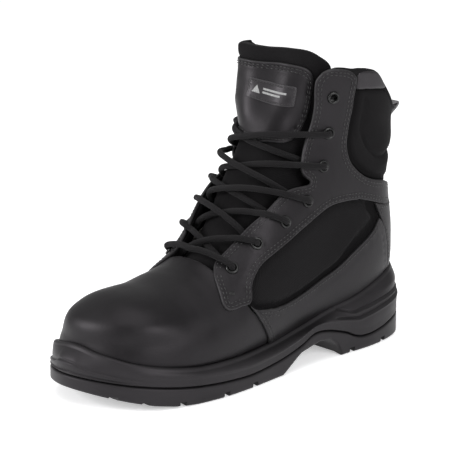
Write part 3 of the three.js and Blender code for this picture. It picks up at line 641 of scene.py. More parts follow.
# ---- sole ----
sole = {"outline": [(-10, -152), (14, -147), (36, -130), (50, -103), (56, -70), (55, -38), (50.5, -5),
                    (46.5, 30), (45, 65), (43.5, 100), (34, 130), (14, 148), (-3, 152), (-20, 148),
                    (-38, 130),
                    (-46, 100), (-47, 65), (-46, 35), (-47, 5), (-50, -25), (-54, -55), (-56, -85),
                    (-51, -115),
                    (-36, -140)],
        "ground": [(-160, 15.5), (-142, 10.2), (-130, 7), (-115, 3.3), (-100, 1), (-85, 0), (0, 0), (4, 2),
                   (20, 11.5), (28, 13), (40, 15.5), (52, 14.5), (60, 8), (64, 0), (140, 0), (147, 0.8),
                   (160, 3)],
        "groove": [(-160, 24), (-123, 17.7), (-90, 13.2), (-58, 10.9), (-33, 10), (-4, 12.2), (19, 16.9),
                   (34, 22.5), (48, 22), (67, 16.7), (79, 11.4), (90, 10), (107, 11.4), (121, 14), (160, 21)],
        "feather": [(-160, 43), (-152, 41.8), (-146, 39.2), (-138, 36.8), (-130, 34.3), (-116, 31),
                    (-99, 28), (-80, 25.5),
                    (-58, 24.5), (-33, 24), (-4, 25), (25, 29), (53, 34.5), (79, 37.5), (100, 41.5),
                    (116, 45.5),
                    (140, 51.5), (160, 53)],
        "rimLow": [(-160, 27), (-152, 25.2), (-149.5, 22.6), (-141, 20.9), (-126, 19.6), (-118, 19.2)],
        "rimHigh": [(-160, 33), (-152, 31.5), (-149.5, 28.8), (-141, 25.6), (-126, 22), (-118, 21)],
        "floor": [(-160, 30), (-130, 23.5), (-95, 20.5), (-71, 20), (-46, 20.5), (-12, 22.5), (26, 27),
                  (66, 32),
                  (108, 35), (160, 36)],
        "spacing": 1.6, "lip": 4.2, "treadDepth": 4, "treadWidth": 5, "treadTurn": 0.22,
        "treadRows": (-131, -111, -84, -47, -19, 84, 118), "step": 1.6,
        "ridges": ((28.5, 78, 64, 33, 0.105), (24.0, 81, 58, 28.5, 0.115)),
        "toeFrom": -140, "toeTo": -118, "wallRows": 46}


def heightAlong(line, y):
    fine = splineThrough(np.array(sole[line], float), 1.0) if len(sole[line]) > 2 else np.array(sole[line])
    return np.interp(y, fine[:, 0], fine[:, 1])


def groundHeight(y):
    return np.interp(y, *np.array(sole["ground"], float).T)


def closedSpline(points, spacing):
    points = np.array(points, float)
    fine = []
    for k in range(len(points)):
        a, b, c, d = (points[(k + i) % len(points)] for i in (-1, 0, 1, 2))
        f = np.linspace(0, 1, 40, endpoint=False)[:, None]
        cubic = (3 * (b - c) + d - a) * f ** 3 + (2 * a - 5 * b + 4 * c - d) * f ** 2
        fine.append(0.5 * (2 * b + (c - a) * f + cubic))
    fine = np.vstack(fine)
    loop = np.vstack([fine, fine[:1]])
    run = runAlong(loop)
    even = np.linspace(0, run[-1], int(run[-1] / spacing), endpoint=False)
    return np.stack([np.interp(even, run, loop[:, 0]), np.interp(even, run, loop[:, 1])], 1)


def flatCap(ring, height, firstIndex, total, upwards):
    # fills a ring with triangles whose heights follow a line along the boot
    low, high = ring.min(0), ring.max(0)
    xs, ys = np.meshgrid(np.arange(low[0], high[0], 5.0), np.arange(low[1], high[1], 3.0))
    inside = np.stack([xs.ravel(), ys.ravel()], 1)
    inside = inside[insideLoop(inside, ring)]
    inside = inside[distanceToLine(inside, ring) > 1.6]
    count = len(ring)
    edges = [(k, (k + 1) % count) for k in range(count)]
    result = delaunay_2d_cdt([Vector(p) for p in np.vstack([ring, inside])], edges, [], 1, 1e-6)
    flat = np.array([tuple(p) for p in result[0]])
    faces = np.array(result[2])
    side = np.cross(flat[faces[:, 1]] - flat[faces[:, 0]], flat[faces[:, 2]] - flat[faces[:, 0]])
    wrong = (side < 0) if upwards else (side > 0)
    faces[wrong] = faces[wrong][:, ::-1]
    extra = flat[count:]
    extra = np.column_stack([extra, height(extra[:, 1])])
    shifted = np.where(faces < count, faces + firstIndex, faces - count + total)
    return extra, shifted.tolist()


outlineRing = closedSpline(sole["outline"], sole["spacing"])
ringCount = len(outlineRing)
ahead = np.roll(outlineRing, -1, 0) - np.roll(outlineRing, 1, 0)
ahead /= np.linalg.norm(ahead, axis=1)[:, None]
soleOut = np.stack([ahead[:, 1], -ahead[:, 0]], 1)
if ((outlineRing - outlineRing.mean(0)) * soleOut).sum() < 0:
    soleOut = -soleOut
ringWay = 1 if (outlineRing[:, 0] * np.roll(outlineRing[:, 1], -1)
                - np.roll(outlineRing[:, 0], -1) * outlineRing[:, 1]).sum() > 0 else -1
ringY = outlineRing[:, 1]
groundAt, grooveAt = groundHeight(ringY), heightAlong("groove", ringY)
featherAt, floorAt = heightAlong("feather", ringY), heightAlong("floor", ringY)

# how far the upper stands in from the sole's edge, all the way round
rowsV, rowsShare = 120, 160
gridV, gridShare = np.meshgrid(np.linspace(0.02, lastSection, rowsV), np.linspace(-1, 1, rowsShare),
                               indexing="ij")
skinPoints = onForm(np.stack([gridV.ravel(), gridShare.ravel()], 1), 0.0)
skinFaces = []
for i in range(rowsV - 1):
    for j in range(rowsShare - 1):
        a = i * rowsShare + j
        skinFaces.append((a, a + 1, a + rowsShare + 1, a + rowsShare))
skinTree = BVHTree.FromPolygons([tuple(p) for p in skinPoints], skinFaces)
upperGap = []
for (x, y), out, z in zip(outlineRing, soleOut, featherAt):
    hit = skinTree.ray_cast(Vector((x + out[0] * 20, y + out[1] * 20, z - 1.0)),
                            Vector((-out[0], -out[1], 0)))
    upperGap.append(hit[3] - 20 if hit[0] is not None else np.nan)
upperGap = np.array(upperGap)
known = ~np.isnan(upperGap)
upperGap = np.interp(np.arange(ringCount), np.arange(ringCount)[known], upperGap[known])
for _ in range(30):
    upperGap = 0.5 * upperGap + 0.25 * (np.roll(upperGap, 1) + np.roll(upperGap, -1))
print("gap from sole edge to upper", round(float(upperGap.min()), 1), round(float(upperGap.max()), 1))


def ringSolid(name, rows, bottom, top):
    # rows are (heights, insets) round the whole outline, from the bottom up
    points = [np.column_stack([outlineRing - soleOut * np.reshape(inset, (-1, 1)) * np.ones((ringCount, 1)),
                               height])
              for height, inset in rows]
    faces = []
    for r in range(len(rows) - 1):
        for k in range(ringCount):
            n = (k + 1) % ringCount
            a, b = r * ringCount + k, r * ringCount + n
            c, d = b + ringCount, a + ringCount
            faces.append((a, b, c, d) if ringWay > 0 else (a, d, c, b))
    vertices = np.vstack(points)
    extra, fill = flatCap(points[0][:, :2], bottom, 0, len(vertices), False)
    vertices = np.vstack([vertices, extra])
    faces += fill
    extra, fill = flatCap(points[-1][:, :2], top, (len(rows) - 1) * ringCount, len(vertices), True)
    vertices = np.vstack([vertices, extra])
    faces += fill
    return newObject(name, vertices, faces)


squeeze = np.clip((grooveAt - groundAt) / 6.5, 0.2, 1)
lowerRows = [(groundAt, 2.6), (groundAt + 0.15 * squeeze, 1.7), (groundAt + 0.6 * squeeze, 0.7),
             (groundAt + 1.4 * squeeze, 0.1)]
for share in (0.0, 0.25, 0.5, 0.75, 1.0):
    lowerRows.append((groundAt + 2.4 * squeeze + share * (grooveAt - groundAt - 4.2 * squeeze), 0.0))
lowerRows += [(grooveAt - 1.1 * squeeze, 0.15), (grooveAt - 0.6 * squeeze, 0.7),
              (grooveAt - 0.35 * squeeze, 1.6),
              (grooveAt - 0.3, 2.8)]
soleLower = ringSolid("sole_tread", lowerRows, groundHeight, lambda y: heightAlong("groove", y) - 0.3)
bpy.ops.object.select_all(action="DESELECT")
cutters = []
for y in sole["treadRows"]:
    lift = float(groundHeight(y)) if y < -85 else 0.0
    for side in (lateral, medial):
        bpy.ops.mesh.primitive_cube_add(size=1)
        cutter = bpy.context.object
        cutter.scale = (0.09, sole["treadWidth"] * mm, 2 * sole["treadDepth"] * mm)
        bpy.ops.object.transform_apply(location=False, rotation=False, scale=True)
        cutter.location = (side * 0.042, 0, 0)
        bpy.ops.object.transform_apply(location=True, rotation=False, scale=False)
        cutter.rotation_euler = (0, 0, -side * sole["treadTurn"])
        cutter.location = (0, y * mm, lift * mm)
        bpy.ops.object.transform_apply(location=True, rotation=True, scale=True)
        cutters.append(cutter)
for cutter in cutters:
    cutter.select_set(True)
bpy.context.view_layer.objects.active = cutters[0]
bpy.ops.object.join()
treadCutter = bpy.context.object
bpy.ops.object.select_all(action="DESELECT")
bpy.context.view_layer.objects.active = soleLower
soleLower.select_set(True)
cut = soleLower.modifiers.new("tread", "BOOLEAN")
cut.operation = "DIFFERENCE"
cut.solver = "EXACT"
cut.use_self = True
cut.object = treadCutter
bpy.ops.object.modifier_apply(modifier="tread")
bpy.data.objects.remove(treadCutter)
bpy.ops.object.shade_smooth_by_angle(angle=math.radians(38))
dress(soleLower, soleFinish, replaces=("outsole",))

toe = 1 - smoothStep(ringY, sole["toeFrom"], sole["toeTo"])
atToe = ringY < sole["toeTo"]
low = np.where(atToe, heightAlong("rimLow", ringY), 0)
high = np.where(atToe, heightAlong("rimHigh", ringY), 0)
rimLow = np.where(atToe, np.maximum(low, grooveAt + 1.9), grooveAt + 2.2)
rimHigh = np.where(atToe, np.maximum(high, rimLow + 2.0), grooveAt + 4.2)
lean = np.clip(upperGap - sole["lip"], 0.6, 9)
bend = 1.3 + 1.5 * (1 - toe)
upperRows = [(grooveAt, 2.8), (grooveAt + 0.35, 1.5), (grooveAt + 0.8, 0.6), (grooveAt + 1.3, 0.1),
             (rimLow - 0.5, 0.0), (rimLow - 0.15, 0.5 * toe), (rimLow + 0.3, 1.3 * toe),
             (rimLow + 0.8, 0.4 * toe),
             (rimHigh - 0.9, 0.1 * toe), (rimHigh - 0.4, 0.2 * toe), (rimHigh, 0.8 * toe),
             (rimHigh + 0.4, 1.6 * toe),
             (rimHigh + 0.9, 1.7 * toe)]
wallBottom, wallTop = rimHigh + 1.5, featherAt - 2.6
for share in np.linspace(0, 1, sole["wallRows"]):
    height = wallBottom + share * (wallTop - wallBottom)
    inset = 1.7 * toe * (1 - share) + lean * share ** bend - 0.5 * np.sin(math.pi * share) * (1 - toe)
    # two steps round the heel, which start as a chevron on each side
    for foot, turnY, startY, startZ, rise in sole["ridges"]:
        line = np.where(ringY > turnY, foot + rise * (ringY - turnY),
                        foot + (startZ - foot) * (turnY - ringY) / (turnY - startY))
        fadeIn = smoothStep(ringY, startY - 4, startY + 5)
        above = smoothStep(height, line - 0.35, line + 0.35)
        inset = inset + fadeIn * sole["step"] * (above * 0.75 * (1 - smoothStep(height, line + 1, line + 7))
                                                 + 0.6 * np.exp(-((height - line - 0.5) / 0.6) ** 2)
                                                 - 0.3 * np.exp(-((height - line + 0.8) / 0.8) ** 2))
    upperRows.append((height, inset))
topInset = inset
upperRows += [(featherAt - 1.5, topInset + 0.25), (featherAt - 0.7, topInset + 0.75),
              (featherAt - 0.2, topInset + 1.5),
              (featherAt, topInset + 2.3), (featherAt - 0.1, topInset + 3.0),
              (featherAt - 0.6, np.maximum(topInset + 3.5, upperGap - 0.9)),
              (featherAt - 2.2, np.maximum(topInset + 3.8, upperGap - 0.3)),
              (featherAt - 3.6, np.maximum(topInset + 4.2, upperGap + 1.2)),
              (np.minimum(featherAt - 5, floorAt - 0.4), np.maximum(topInset + 5, upperGap + 3.0))]
soleUpper = ringSolid("sole_wall", upperRows, lambda y: heightAlong("groove", y),
                      lambda y: np.minimum(heightAlong("feather", y) - 5, heightAlong("floor", y) - 0.4))
dress(soleUpper, soleFinish, replaces=("midsole",))
print("sole ready", len(soleLower.data.polygons), len(soleUpper.data.polygons))

# ---- outlines of the upper, in the side view ----
throatEdge = [(-44, 79), (-39, 84), (-28, 92.5), (-14, 104.5), (2, 116), (21, 127.5), (41, 129.5), (35, 136),
              (33.5, 141), (36, 151), (39, 158), (43, 166), (46, 176), (47, 187), (47, 201), (50, 208)]
facingTop = [(50, 208), (55, 210), (67, 208.5), (73.5, 205.5)]
facingRear = [(73.5, 205.5), (77, 201), (76, 189), (75.5, 176), (73.8, 164), (73, 155), (75, 145.5),
              (79.5, 137.5),
              (90, 128.5), (103, 122.5), (118, 118.5), ("back", 116.2)]
facingTab = [(-28.5, 61.5), (-31, 58.4), (-38, 58.2), (-49, 57), (-52, 61), (-50, 68), (-47, 75), (-44, 79)]
windowTop = [(-28.5, 61.5), (-25.5, 70), (-21, 75.5), (-13, 82), (2, 88.5), (17, 94.5), (31, 100.5),
             (46, 107),
             (61, 111.5), (82, 111), (104, 105.6), ("back", 105.2)]
windowBottom = [(-31, 57.6), (-26.5, 54), (-12, 51.5), (7, 50.5), (30, 54.5), (55, 61.5), (79, 71.5),
                (96, 80),
                (106, 87), (110.5, 93)]
backstayFront = [(104.4, 105), (110.8, 94.5), (117.4, 82), (122.4, 66), (126.4, 50), (127, 40)]
quarterFront = [(0, 17), (-8, 25), (-20, 42), (-31, 57.6)]
quarterLow = [(126.6, 40), (100, 33), (66, 26), (26, 20.5), (0, 17)]
vampRear = [("front", 84.6), (-43, 79), (-40, 74), (-36, 64), (-28.5, 53), (-14.5, 41), (-2, 26), (4, 17)]
vampLow = [(4, 17), (-40, 16.5), (-80, 17.5), (-110, 20), (-126, 24)]
collarTop = [(109.8, 188.8), (114.5, 185.4), (124, 175.5), (131, 171), ("back", 170)]
bandTop = [(77.6, 205.6), (83, 206.3), (97.5, 203.5), (106.6, 194), (109.8, 188.8)]
bandLow = [(109.8, 188.8), (97, 190.6), (83, 192), (77.4, 192.6)]
eyeletSpots = [(-33.2, 81), (-12, 95.2), (13.2, 106.8), (35.2, 118), (51.6, 140.4), (57.4, 163.6),
               (59, 189.4)]
nearBack = 0.9985


def trimBack(line, side):
    # keeps a piece just on its own side of the seam down the back
    line = line.copy()
    line[:, 1] = np.clip(line[:, 1], 0.0015, nearBack) if side > 0 else np.clip(line[:, 1], -nearBack,
                                                                                -0.0015)
    return line


def holeRound(spot, side, radius, count=20):
    centre = locate([spot], side)
    _, _, alongV, alongShare = formFrame(centre)
    across = alongShare[0] / np.linalg.norm(alongShare[0])
    normal = np.cross(across, alongV[0])
    up = np.cross(normal / np.linalg.norm(normal), across)
    turn = np.linspace(0, 2 * math.pi, count, endpoint=False)
    ways = np.cos(turn)[:, None] * across + np.sin(turn)[:, None] * up
    return moveOnForm(np.repeat(centre, count, 0), ways, radius)


stitch = {"length": 2.4, "gap": 0.95, "radius": 0.42, "rows": (2.3, 4.7)}
panel = {"edge": 0.8, "outer": 2.0, "inner": -0.1}
sewingLines = {}


def sunkRows(rows):
    def shape(point, gap, height, depth):
        for row in rows:
            height = height - 0.3 * np.exp(-((gap - row) / 0.55) ** 2)
        return height, depth
    return shape


panels = {}
sides = {"lateral": lateral, "medial": medial}
for sideName, side in sides.items():
    holes = [holeRound(spot, side, 3.4) for spot in eyeletSpots]
    facingLines = [formLine(throatEdge, side), formLine(facingTop, side), formLine(facingRear, side),
                   formLine([("back", 116.2), ("back", 105.2)], side), formLine(windowTop[::-1], side),
                   formLine(facingTab, side)]
    facing = closeOutline([trimBack(line, side) for line in facingLines])
    panels["facing_" + sideName] = cutPanel("facing_leather_" + sideName, facing, panel["inner"],
                                            panel["outer"],
                                            panel["edge"], holes=holes, shape=sunkRows(stitch["rows"]))
    quarterLines = [formLine(windowBottom, side), formLine([(110.5, 93)] + backstayFront[2:], side),
                    formLine(quarterLow, side), formLine(quarterFront, side)]
    quarter = closeOutline([trimBack(line, side) for line in quarterLines], 2)
    panels["quarter_" + sideName] = cutPanel("quarter_leather_" + sideName, quarter, panel["inner"],
                                             panel["outer"],
                                             panel["edge"], shape=sunkRows(stitch["rows"]))
    sewingLines[sideName] = {"facing": facing, "quarter": quarter}
print("facings and quarters ready")
for sideName in sides:
    dress(panels["facing_" + sideName], upperLeather, replaces=("facing_" + sideName,))
    dress(panels["quarter_" + sideName], upperLeather, replaces=("quarter_" + sideName,))

# ---- vamp and backstay ----
vampRight = [formLine(vampRear, lateral), formLine(vampLow, lateral)]
vampLeft = [formLine(vampLow, medial, flip=True), formLine(vampRear, medial, flip=True)]
tip = splineThrough(np.array([vampRight[1][-1], [0.4, 0.45], [0.25, 0.0], [0.4, -0.45], vampLeft[0][0]])
                    * sheetScale) / sheetScale
vamp = closeOutline(vampRight + [tip] + vampLeft, 4)


def vampShape(point, gap, height, depth):
    # soft creases where the ball of the foot bends, and the end of the toe cap under the leather
    ahead, across = point[:, 1], point[:, 0] + 2
    crest = np.clip((point[:, 2] - 40) / 40, 0, 1)
    capEnd = -90 + 0.004 * across ** 2
    height = height + 0.4 * crest * (1 - smoothStep(ahead, -2 + capEnd - 5, capEnd + 6))
    height = height + 4.2 * smoothStep(-ahead, 80, 114) * smoothStep(point[:, 2], 43, 56)
    for start, bow, deep in ((-62, 0.0022, 0.28), (-53, 0.0030, 0.22)):
        line = start + bow * across ** 2 + 1.5 * np.sin(across * 0.11)
        height = height - deep * crest ** 2 * np.exp(-((ahead - line) / 3.2) ** 2)
    return height, depth


vampPiece = cutPanel("vamp_leather", vamp, -1.8, 0.0, 0.8, grid=2.4, shape=vampShape)
dress(vampPiece, upperLeather, replaces=("vamp",))


def acrossBack(line):
    # carries a line of the inner side over the seam down the back
    return np.column_stack([line[:, 0], line[:, 1] + 2])


backLines = [formLine(backstayFront, lateral),
             splineThrough(np.array([locate([(127, 40)], lateral)[0], seamSpot(41, 1),
                                     locate([(127, 40)], medial)[0] + [0, 2]]) * sheetScale) / sheetScale,
             acrossBack(formLine(backstayFront, medial, flip=True)),
             splineThrough(np.array([locate([(104.4, 105)], medial)[0] + [0, 2], seamSpot(104.9, 1),
                                     locate([(104.4, 105)], lateral)[0]]) * sheetScale) / sheetScale]
backstay = closeOutline(backLines, 2)
backPiece = cutPanel("backstay_leather", backstay, panel["inner"], panel["outer"] + 0.15, panel["edge"],
                     shape=sunkRows((2.3,)))
dress(backPiece, upperLeather, replaces=("backstay",))

# ---- side panels of cloth, raised in the middle of their window ----
sidePanel = {"raise": 1.9, "low": -1.3, "band": (3.0, 5.8), "wider": 5.5}
for sideName, side in sides.items():
    meshLines = [formLine([(y + 1.0, z - 0.8) for y, z in throatEdge[:-1]] + [(51, 206.8)], side),
                 formLine([(51, 206.8), (56, 208), (67, 207), (73, 204.5)], side),
                 formLine([(73, 204.5), (76.4, 201), (75.4, 189), (75, 176), (73.2, 164), (72.4, 155),
                           (74.4, 145),
                           (79, 137), (89.6, 128), (103, 122), (118, 118), ("back", 115.6)], side),
                 formLine([("back", 115.6), ("back", 60)], side),
                 formLine([("back", 60), (110, 55), (70, 44), (30, 36), (10, 33), (-1, 33)], side),
                 formLine([(-1, 33), (-13.5, 42), (-27.8, 54.2), (-35.6, 64), (-39.6, 74), (-43, 78.2)],
                          side)]
    outline = closeOutline([trimBack(line, side) for line in meshLines], 1)
    edgeLine = formPoint(formLine(windowBottom + [(111.6, 99), (104, 105.6)], side))
    topLine = formPoint(formLine(windowTop[:-1], side))
    holes = [holeRound(spot, side, 3.5) for spot in eyeletSpots]

    def windowShape(point, gap, height, depth, edgeLine=edgeLine, topLine=topLine):
        fromEdge = distanceToLine(point, edgeLine, closed=False)
        fromTop = distanceToLine(point, topLine, closed=False)
        inWindow = insideLoop(point[:, 1:], np.vstack([edgeLine[:, 1:], topLine[::-1, 1:]]))
        wider = sidePanel["wider"] * smoothStep(point[:, 1], 55, 92)
        start, end = sidePanel["band"]
        lift = smoothStep(fromEdge - wider, start, end) * smoothStep(fromTop, -1.0, 5)
        low = np.where(inWindow, smoothStep(np.minimum(fromEdge, fromTop + 1), 0, 2), 0)
        rise = np.where(inWindow, lift * (sidePanel["raise"] - sidePanel["low"]), 0)
        return height + sidePanel["low"] * low + rise, depth

    cloth = cutPanel("side_cloth_" + sideName, outline, -1.8, -0.05, 0.6, grid=1.8, holes=holes,
                     shape=windowShape)
    spots = pointsOf(cloth) / mm
    fromEdge = distanceToLine(spots, edgeLine, closed=False)
    wider = sidePanel["wider"] * smoothStep(spots[:, 1], 55, 92)
    # painted shade: marks the recess along the bottom and rear of the window, which the cloth finish darkens
    markPoints(cloth, "deep", 1 - smoothStep(fromEdge - wider, 3.2, 5.0))
    dress(cloth, sideCloth, replaces=("side_mesh_" + sideName,))
print("vamp, backstay and side cloth ready")


# ---- padded collar ----
def holdAndSwell(thing, held, look):
    # fills a closed pad: its held points stay, the rest swells by no more than the cap
    before = pointsOf(thing)
    group = thing.vertex_groups.new(name="held")
    for index, weight in enumerate(held):
        group.add([index], float(weight), "REPLACE")
    bpy.ops.object.select_all(action="DESELECT")
    bpy.context.view_layer.objects.active = thing
    thing.select_set(True)
    cloth = thing.modifiers.new("filling", "CLOTH")
    cloth.settings.quality = 6
    cloth.settings.mass = 0.05
    cloth.settings.tension_stiffness = 12
    cloth.settings.compression_stiffness = 12
    cloth.settings.bending_stiffness = 0.4
    cloth.settings.use_pressure = True
    cloth.settings.uniform_pressure_force = look["pressure"]
    cloth.settings.vertex_group_mass = "held"
    cloth.settings.effector_weights.gravity = 0
    cloth.point_cache.frame_start = 1
    cloth.point_cache.frame_end = look["frames"]
    for step in range(1, look["frames"] + 1):
        bpy.context.scene.frame_set(step)
    bpy.ops.object.modifier_apply(modifier="filling")
    bpy.context.scene.frame_set(1)
    after = pointsOf(thing)
    move = after - before
    far = np.linalg.norm(move, axis=1)
    cap = look["cap"] * mm
    move *= (cap * np.tanh(far / cap) / np.maximum(far, 1e-9))[:, None]
    thing.data.vertices.foreach_set("co", (before + move).ravel())
    thing.data.update()
    print(thing.name, "swelled by up to", round(float(np.linalg.norm(move, axis=1).max() / mm), 2), "mm")


collarPad = {"low": -0.7, "high": 1.0, "band": (3.4, 7.0), "plump": 2.2, "pressure": 60.0, "cap": 1.3,
             "frames": 20, "tabRoom": 0.9,
             "quilt": [(87.5, 184), (86.2, 176), (86.2, 167.7), (87.3, 158.3), (93.1, 148.2), (103.4, 140),
                       (115, 137.5), (126, 141), (133, 148)]}
for sideName, side in sides.items():
    rear = [(y + 0.4, z + 0.3) for y, z in facingRear[2:-1]]
    lines = [formLine([(77.4, 192.6), (83, 192), (97, 190.6), (109.8, 188.8)], side),
             formLine(collarTop, side),
             formLine([("back", 170), ("back", 116.6)], side),
             formLine([("back", 116.6)] + rear[::-1] + [(77.4, 192.6)], side)]
    outline = closeOutline([trimBack(line, side) for line in lines], 2)
    quilt = formPoint(formLine(collarPad["quilt"], side))
    rearEdge = formPoint(lines[3])

    def padShape(point, gap, height, depth, quilt=quilt, rearEdge=rearEdge):
        fromRear = distanceToLine(point, rearEdge, closed=False)
        fromQuilt = distanceToLine(point, quilt, closed=False)
        low, high = collarPad["low"], collarPad["high"]
        band = collarPad["band"]
        height = low + (high - low) * smoothStep(fromRear, *band) * (0.45 + 0.55 * smoothStep(gap, 0, 3.5))
        drop = np.clip(1 - gap / 2.2, 0, 1)
        height = height - 1.6 * (1 - np.sqrt(np.clip(1 - drop ** 2, 0, 1)))
        # plumper towards the back, with room under the pull tab
        plump = smoothStep(point[:, 1], 96, 116) * smoothStep(gap, 1, 9) * smoothStep(fromQuilt, 1, 6)
        height = height + collarPad["plump"] * plump * (1 - smoothStep(np.abs(point[:, 2] - 143), 6, 24))
        height = height - 1.5 * np.exp(-(fromQuilt / 1.25) ** 2)
        underTab = (1 - smoothStep(np.abs(point[:, 0] + 3.5), 9.5, 14)) * smoothStep(point[:, 2], 138, 146)
        height = height - collarPad["tabRoom"] * underTab * smoothStep(point[:, 1], 110, 125)
        return height, depth

    pad = cutPanel("collar_padding_" + sideName, outline, -3.6, 1.0, 1.0, grid=2.2, shape=padShape)
    spots = pointsOf(pad) / mm
    half = len(spots) // 2
    held = np.ones(len(spots))
    skin = formPoint(outline)
    fromBorder = distanceToLine(spots[:half], skin)
    fromRear = distanceToLine(spots[:half], rearEdge, closed=False)
    fromQuilt = distanceToLine(spots[:half], quilt, closed=False)
    held[:half] = (fromBorder < 2.6) | (fromRear < 5.2) | (fromQuilt < 1.6)
    holdAndSwell(pad, held, collarPad)
    # painted shade: marks the recess by the facing's rear edge, and the whole underside, which the cloth
    # finish darkens
    values = np.ones(len(spots))
    values[:half] = 1 - smoothStep(fromRear, 3.6, 5.6)
    markPoints(pad, "deep", values)
    dress(pad, softCloth, replaces=("collar_pad_" + sideName,))

    bandLines = [formLine(bandTop, side), formLine(bandLow, side),
                 formLine([(77.4, 192.6), (77.6, 205.6)], side)]
    band = closeOutline(bandLines, 3)
    bandPiece = cutPanel("collar_leather_" + sideName, band, -3.6, 1.7, 2.2, grid=2.0)
    dress(bandPiece, collarLeather, replaces=("collar_band_" + sideName,))


def tube(name, centres, firstAxes, secondAxes, halfA, halfB, sidesRound=14, closedEnds=True):
    turn = np.linspace(0, 2 * math.pi, sidesRound, endpoint=False)
    count = len(centres)
    halfA, halfB = np.broadcast_to(halfA, (count,)), np.broadcast_to(halfB, (count,))
    rings = (centres[:, None, :] + np.cos(turn)[None, :, None] * firstAxes[:, None, :] * halfA[:, None, None]
             + np.sin(turn)[None, :, None] * secondAxes[:, None, :] * halfB[:, None, None])
    vertices = rings.reshape(-1, 3)
    faces = []
    for i in range(count - 1):
        for k in range(sidesRound):
            n = (k + 1) % sidesRound
            faces.append((i * sidesRound + k, i * sidesRound + n, (i + 1) * sidesRound + n,
                          (i + 1) * sidesRound + k))
    if closedEnds:
        faces.append(tuple(range(sidesRound))[::-1])
        faces.append(tuple((count - 1) * sidesRound + k for k in range(sidesRound)))
    run = runAlong(centres)
    around = turn / (2 * math.pi) * math.pi * (halfA.mean() + halfB.mean())
    uvs = np.stack([np.tile(around, count), np.repeat(run, sidesRound)], 1)
    return newObject(name, vertices, faces, uvs)


rollTop = [(53.5, 206.5), (60, 207.4), (67, 206.8), (75, 205.2), (83, 204.7), (96.5, 201.5), (105, 193),
           (113, 184.4),
           (122.5, 174.5), (130, 170), ("back", 168.8)]
rollSpots = np.vstack([formLine(rollTop, lateral), acrossBack(formLine(rollTop, medial, flip=True))[1:]])
rollPoint, rollNormal, _, _ = formFrame(rollSpots)
rollCentre = rollPoint - rollNormal * 2.0
rollTangent = np.gradient(rollCentre, axis=0)
rollTangent /= np.linalg.norm(rollTangent, axis=1)[:, None]
rollUp = np.cross(rollTangent, rollNormal)
ends = np.minimum(np.arange(len(rollSpots)), np.arange(len(rollSpots))[::-1])
taper = 0.3 + 0.7 * smoothStep(ends, 0, 7)
collarRoll = tube("collar_roll", rollCentre, rollNormal, rollUp, 3.5 * taper, 2.7 * taper)
bpy.context.view_layer.objects.active = collarRoll
dress(collarRoll, softCloth)

# ---- lining of the shaft, seen through the opening ----
for sideName, side in sides.items():
    lines = [formLine([(-24, 70), (-6, 85), (17, 97.5), (40, 109), (52, 119), (59.5, 132), (64, 150),
                       (66.5, 170),
                       (68, 190), (67, 205)], side),
             formLine([(67, 205), (75, 204.2), (83, 203.5), (96, 200.5), (104.5, 192), (112.5, 183.4),
                       (122, 173.5),
                       (130, 169), ("back", 168)], side),
             formLine([("back", 168), ("back", 40)], side),
             formLine([("back", 40), (100, 30), (60, 24), (20, 18), (-6, 17)], side),
             formLine([(-6, 17), (-14, 42), (-24, 70)], side)]
    outline = closeOutline([trimBack(line, side) for line in lines], 1)
    lining = cutPanel("lining_cloth_" + sideName, outline, -5.4, -4.1, 0.5, grid=3.4, weave=unrolled)
    dress(lining, liningFinish, replaces=("shaft_lining_" + sideName,))
print("collar and lining ready")

# ---- tongue ----
tongueLook = {"inner": -13.3, "outer": -9.3, "hinge": 170.0}
tongueSide = [(-18, 66), (0, 79), (20, 91), (40, 102), (52, 113), (57, 123), (57, 132), (53, 140), (53, 156),
              (54, 170), (55, 182), (58, 194), (62, 204), (61, 211), (53, 216), (43, 220), ("front", 221.5)]
root = [("front", 76), (-38, 70), (-18, 66)]
tongueLines = [formLine(root, lateral), formLine(tongueSide, lateral),
               formLine(tongueSide, medial, flip=True),
               formLine(root, medial, flip=True)]
tongueOutline = closeOutline(tongueLines, 6)
panelSide = [("front", 159.5), (25, 160), (37.5, 163.5), (43.5, 171), (46.5, 184), (47, 198), (43.5, 206),
             (37, 210), ("front", 211.5)]
panelOutline = closeOutline([formLine(panelSide, lateral), formLine(panelSide, medial, flip=True)], 8)
panelEdge = formPoint(panelOutline)


def tongueRise(point):
    # the flap stands forward between the facings, more on the inner side
    up = smoothStep(point[:, 2], 158, 186)
    proud = 3.2 + 6.6 * smoothStep(-point[:, 0], -8, 18)
    return up * proud * (1 - smoothStep(point[:, 0], 12, 34)) * (1 - smoothStep(-point[:, 0], 27, 41))


def tongueShape(point, gap, height, depth):
    height, depth = height + tongueRise(point), depth + 0.8 * tongueRise(point)
    flap = smoothStep(point[:, 2], 166, 182)
    swell = np.sqrt(np.clip(gap / 9, 0, 1))
    height = height + flap * 0.9 * swell
    # the leather panel is sewn down round its edge
    fromPanel = distanceToLine(point, panelEdge)
    inPanel = insideLoop(np.column_stack([point[:, 0], point[:, 2]]), panelEdge[:, [0, 2]])
    height = height - np.where(inPanel, flap, 1.1 * np.exp(-(fromPanel / 2.4) ** 2) * flap)
    low = 1 - smoothStep(point[:, 2], 150, 160)
    height = height - low * 0.35 * np.exp(-(((point[:, 0] + 3.5) % 17 - 8.5) / 0.9) ** 2)
    return height, depth


tonguePiece = cutPanel("tongue_body", tongueOutline, tongueLook["inner"], tongueLook["outer"], 1.9, grid=2.6,
                       shape=tongueShape, weave=lambda p: p[:, [0, 2]])
dress(tonguePiece, softCloth, None, ("tongue_lower", "tongue_flap"))
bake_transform(tonguePiece)


def panelShape(point, gap, height, depth):
    height, depth = height + tongueRise(point), depth + tongueRise(point)
    height = height + 1.2 * smoothStep(gap, 0, 16)
    for row in (2.2, 4.2):
        height = height - 0.3 * np.exp(-((gap - row) / 0.55) ** 2)
    return height, depth


tongueLeather = cutPanel("tongue_leather", panelOutline, -9.2, -7.6, 0.8, grid=2.2, shape=panelShape)
dress(tongueLeather, upperLeather, "tongue_flap", ("tongue_panel",))


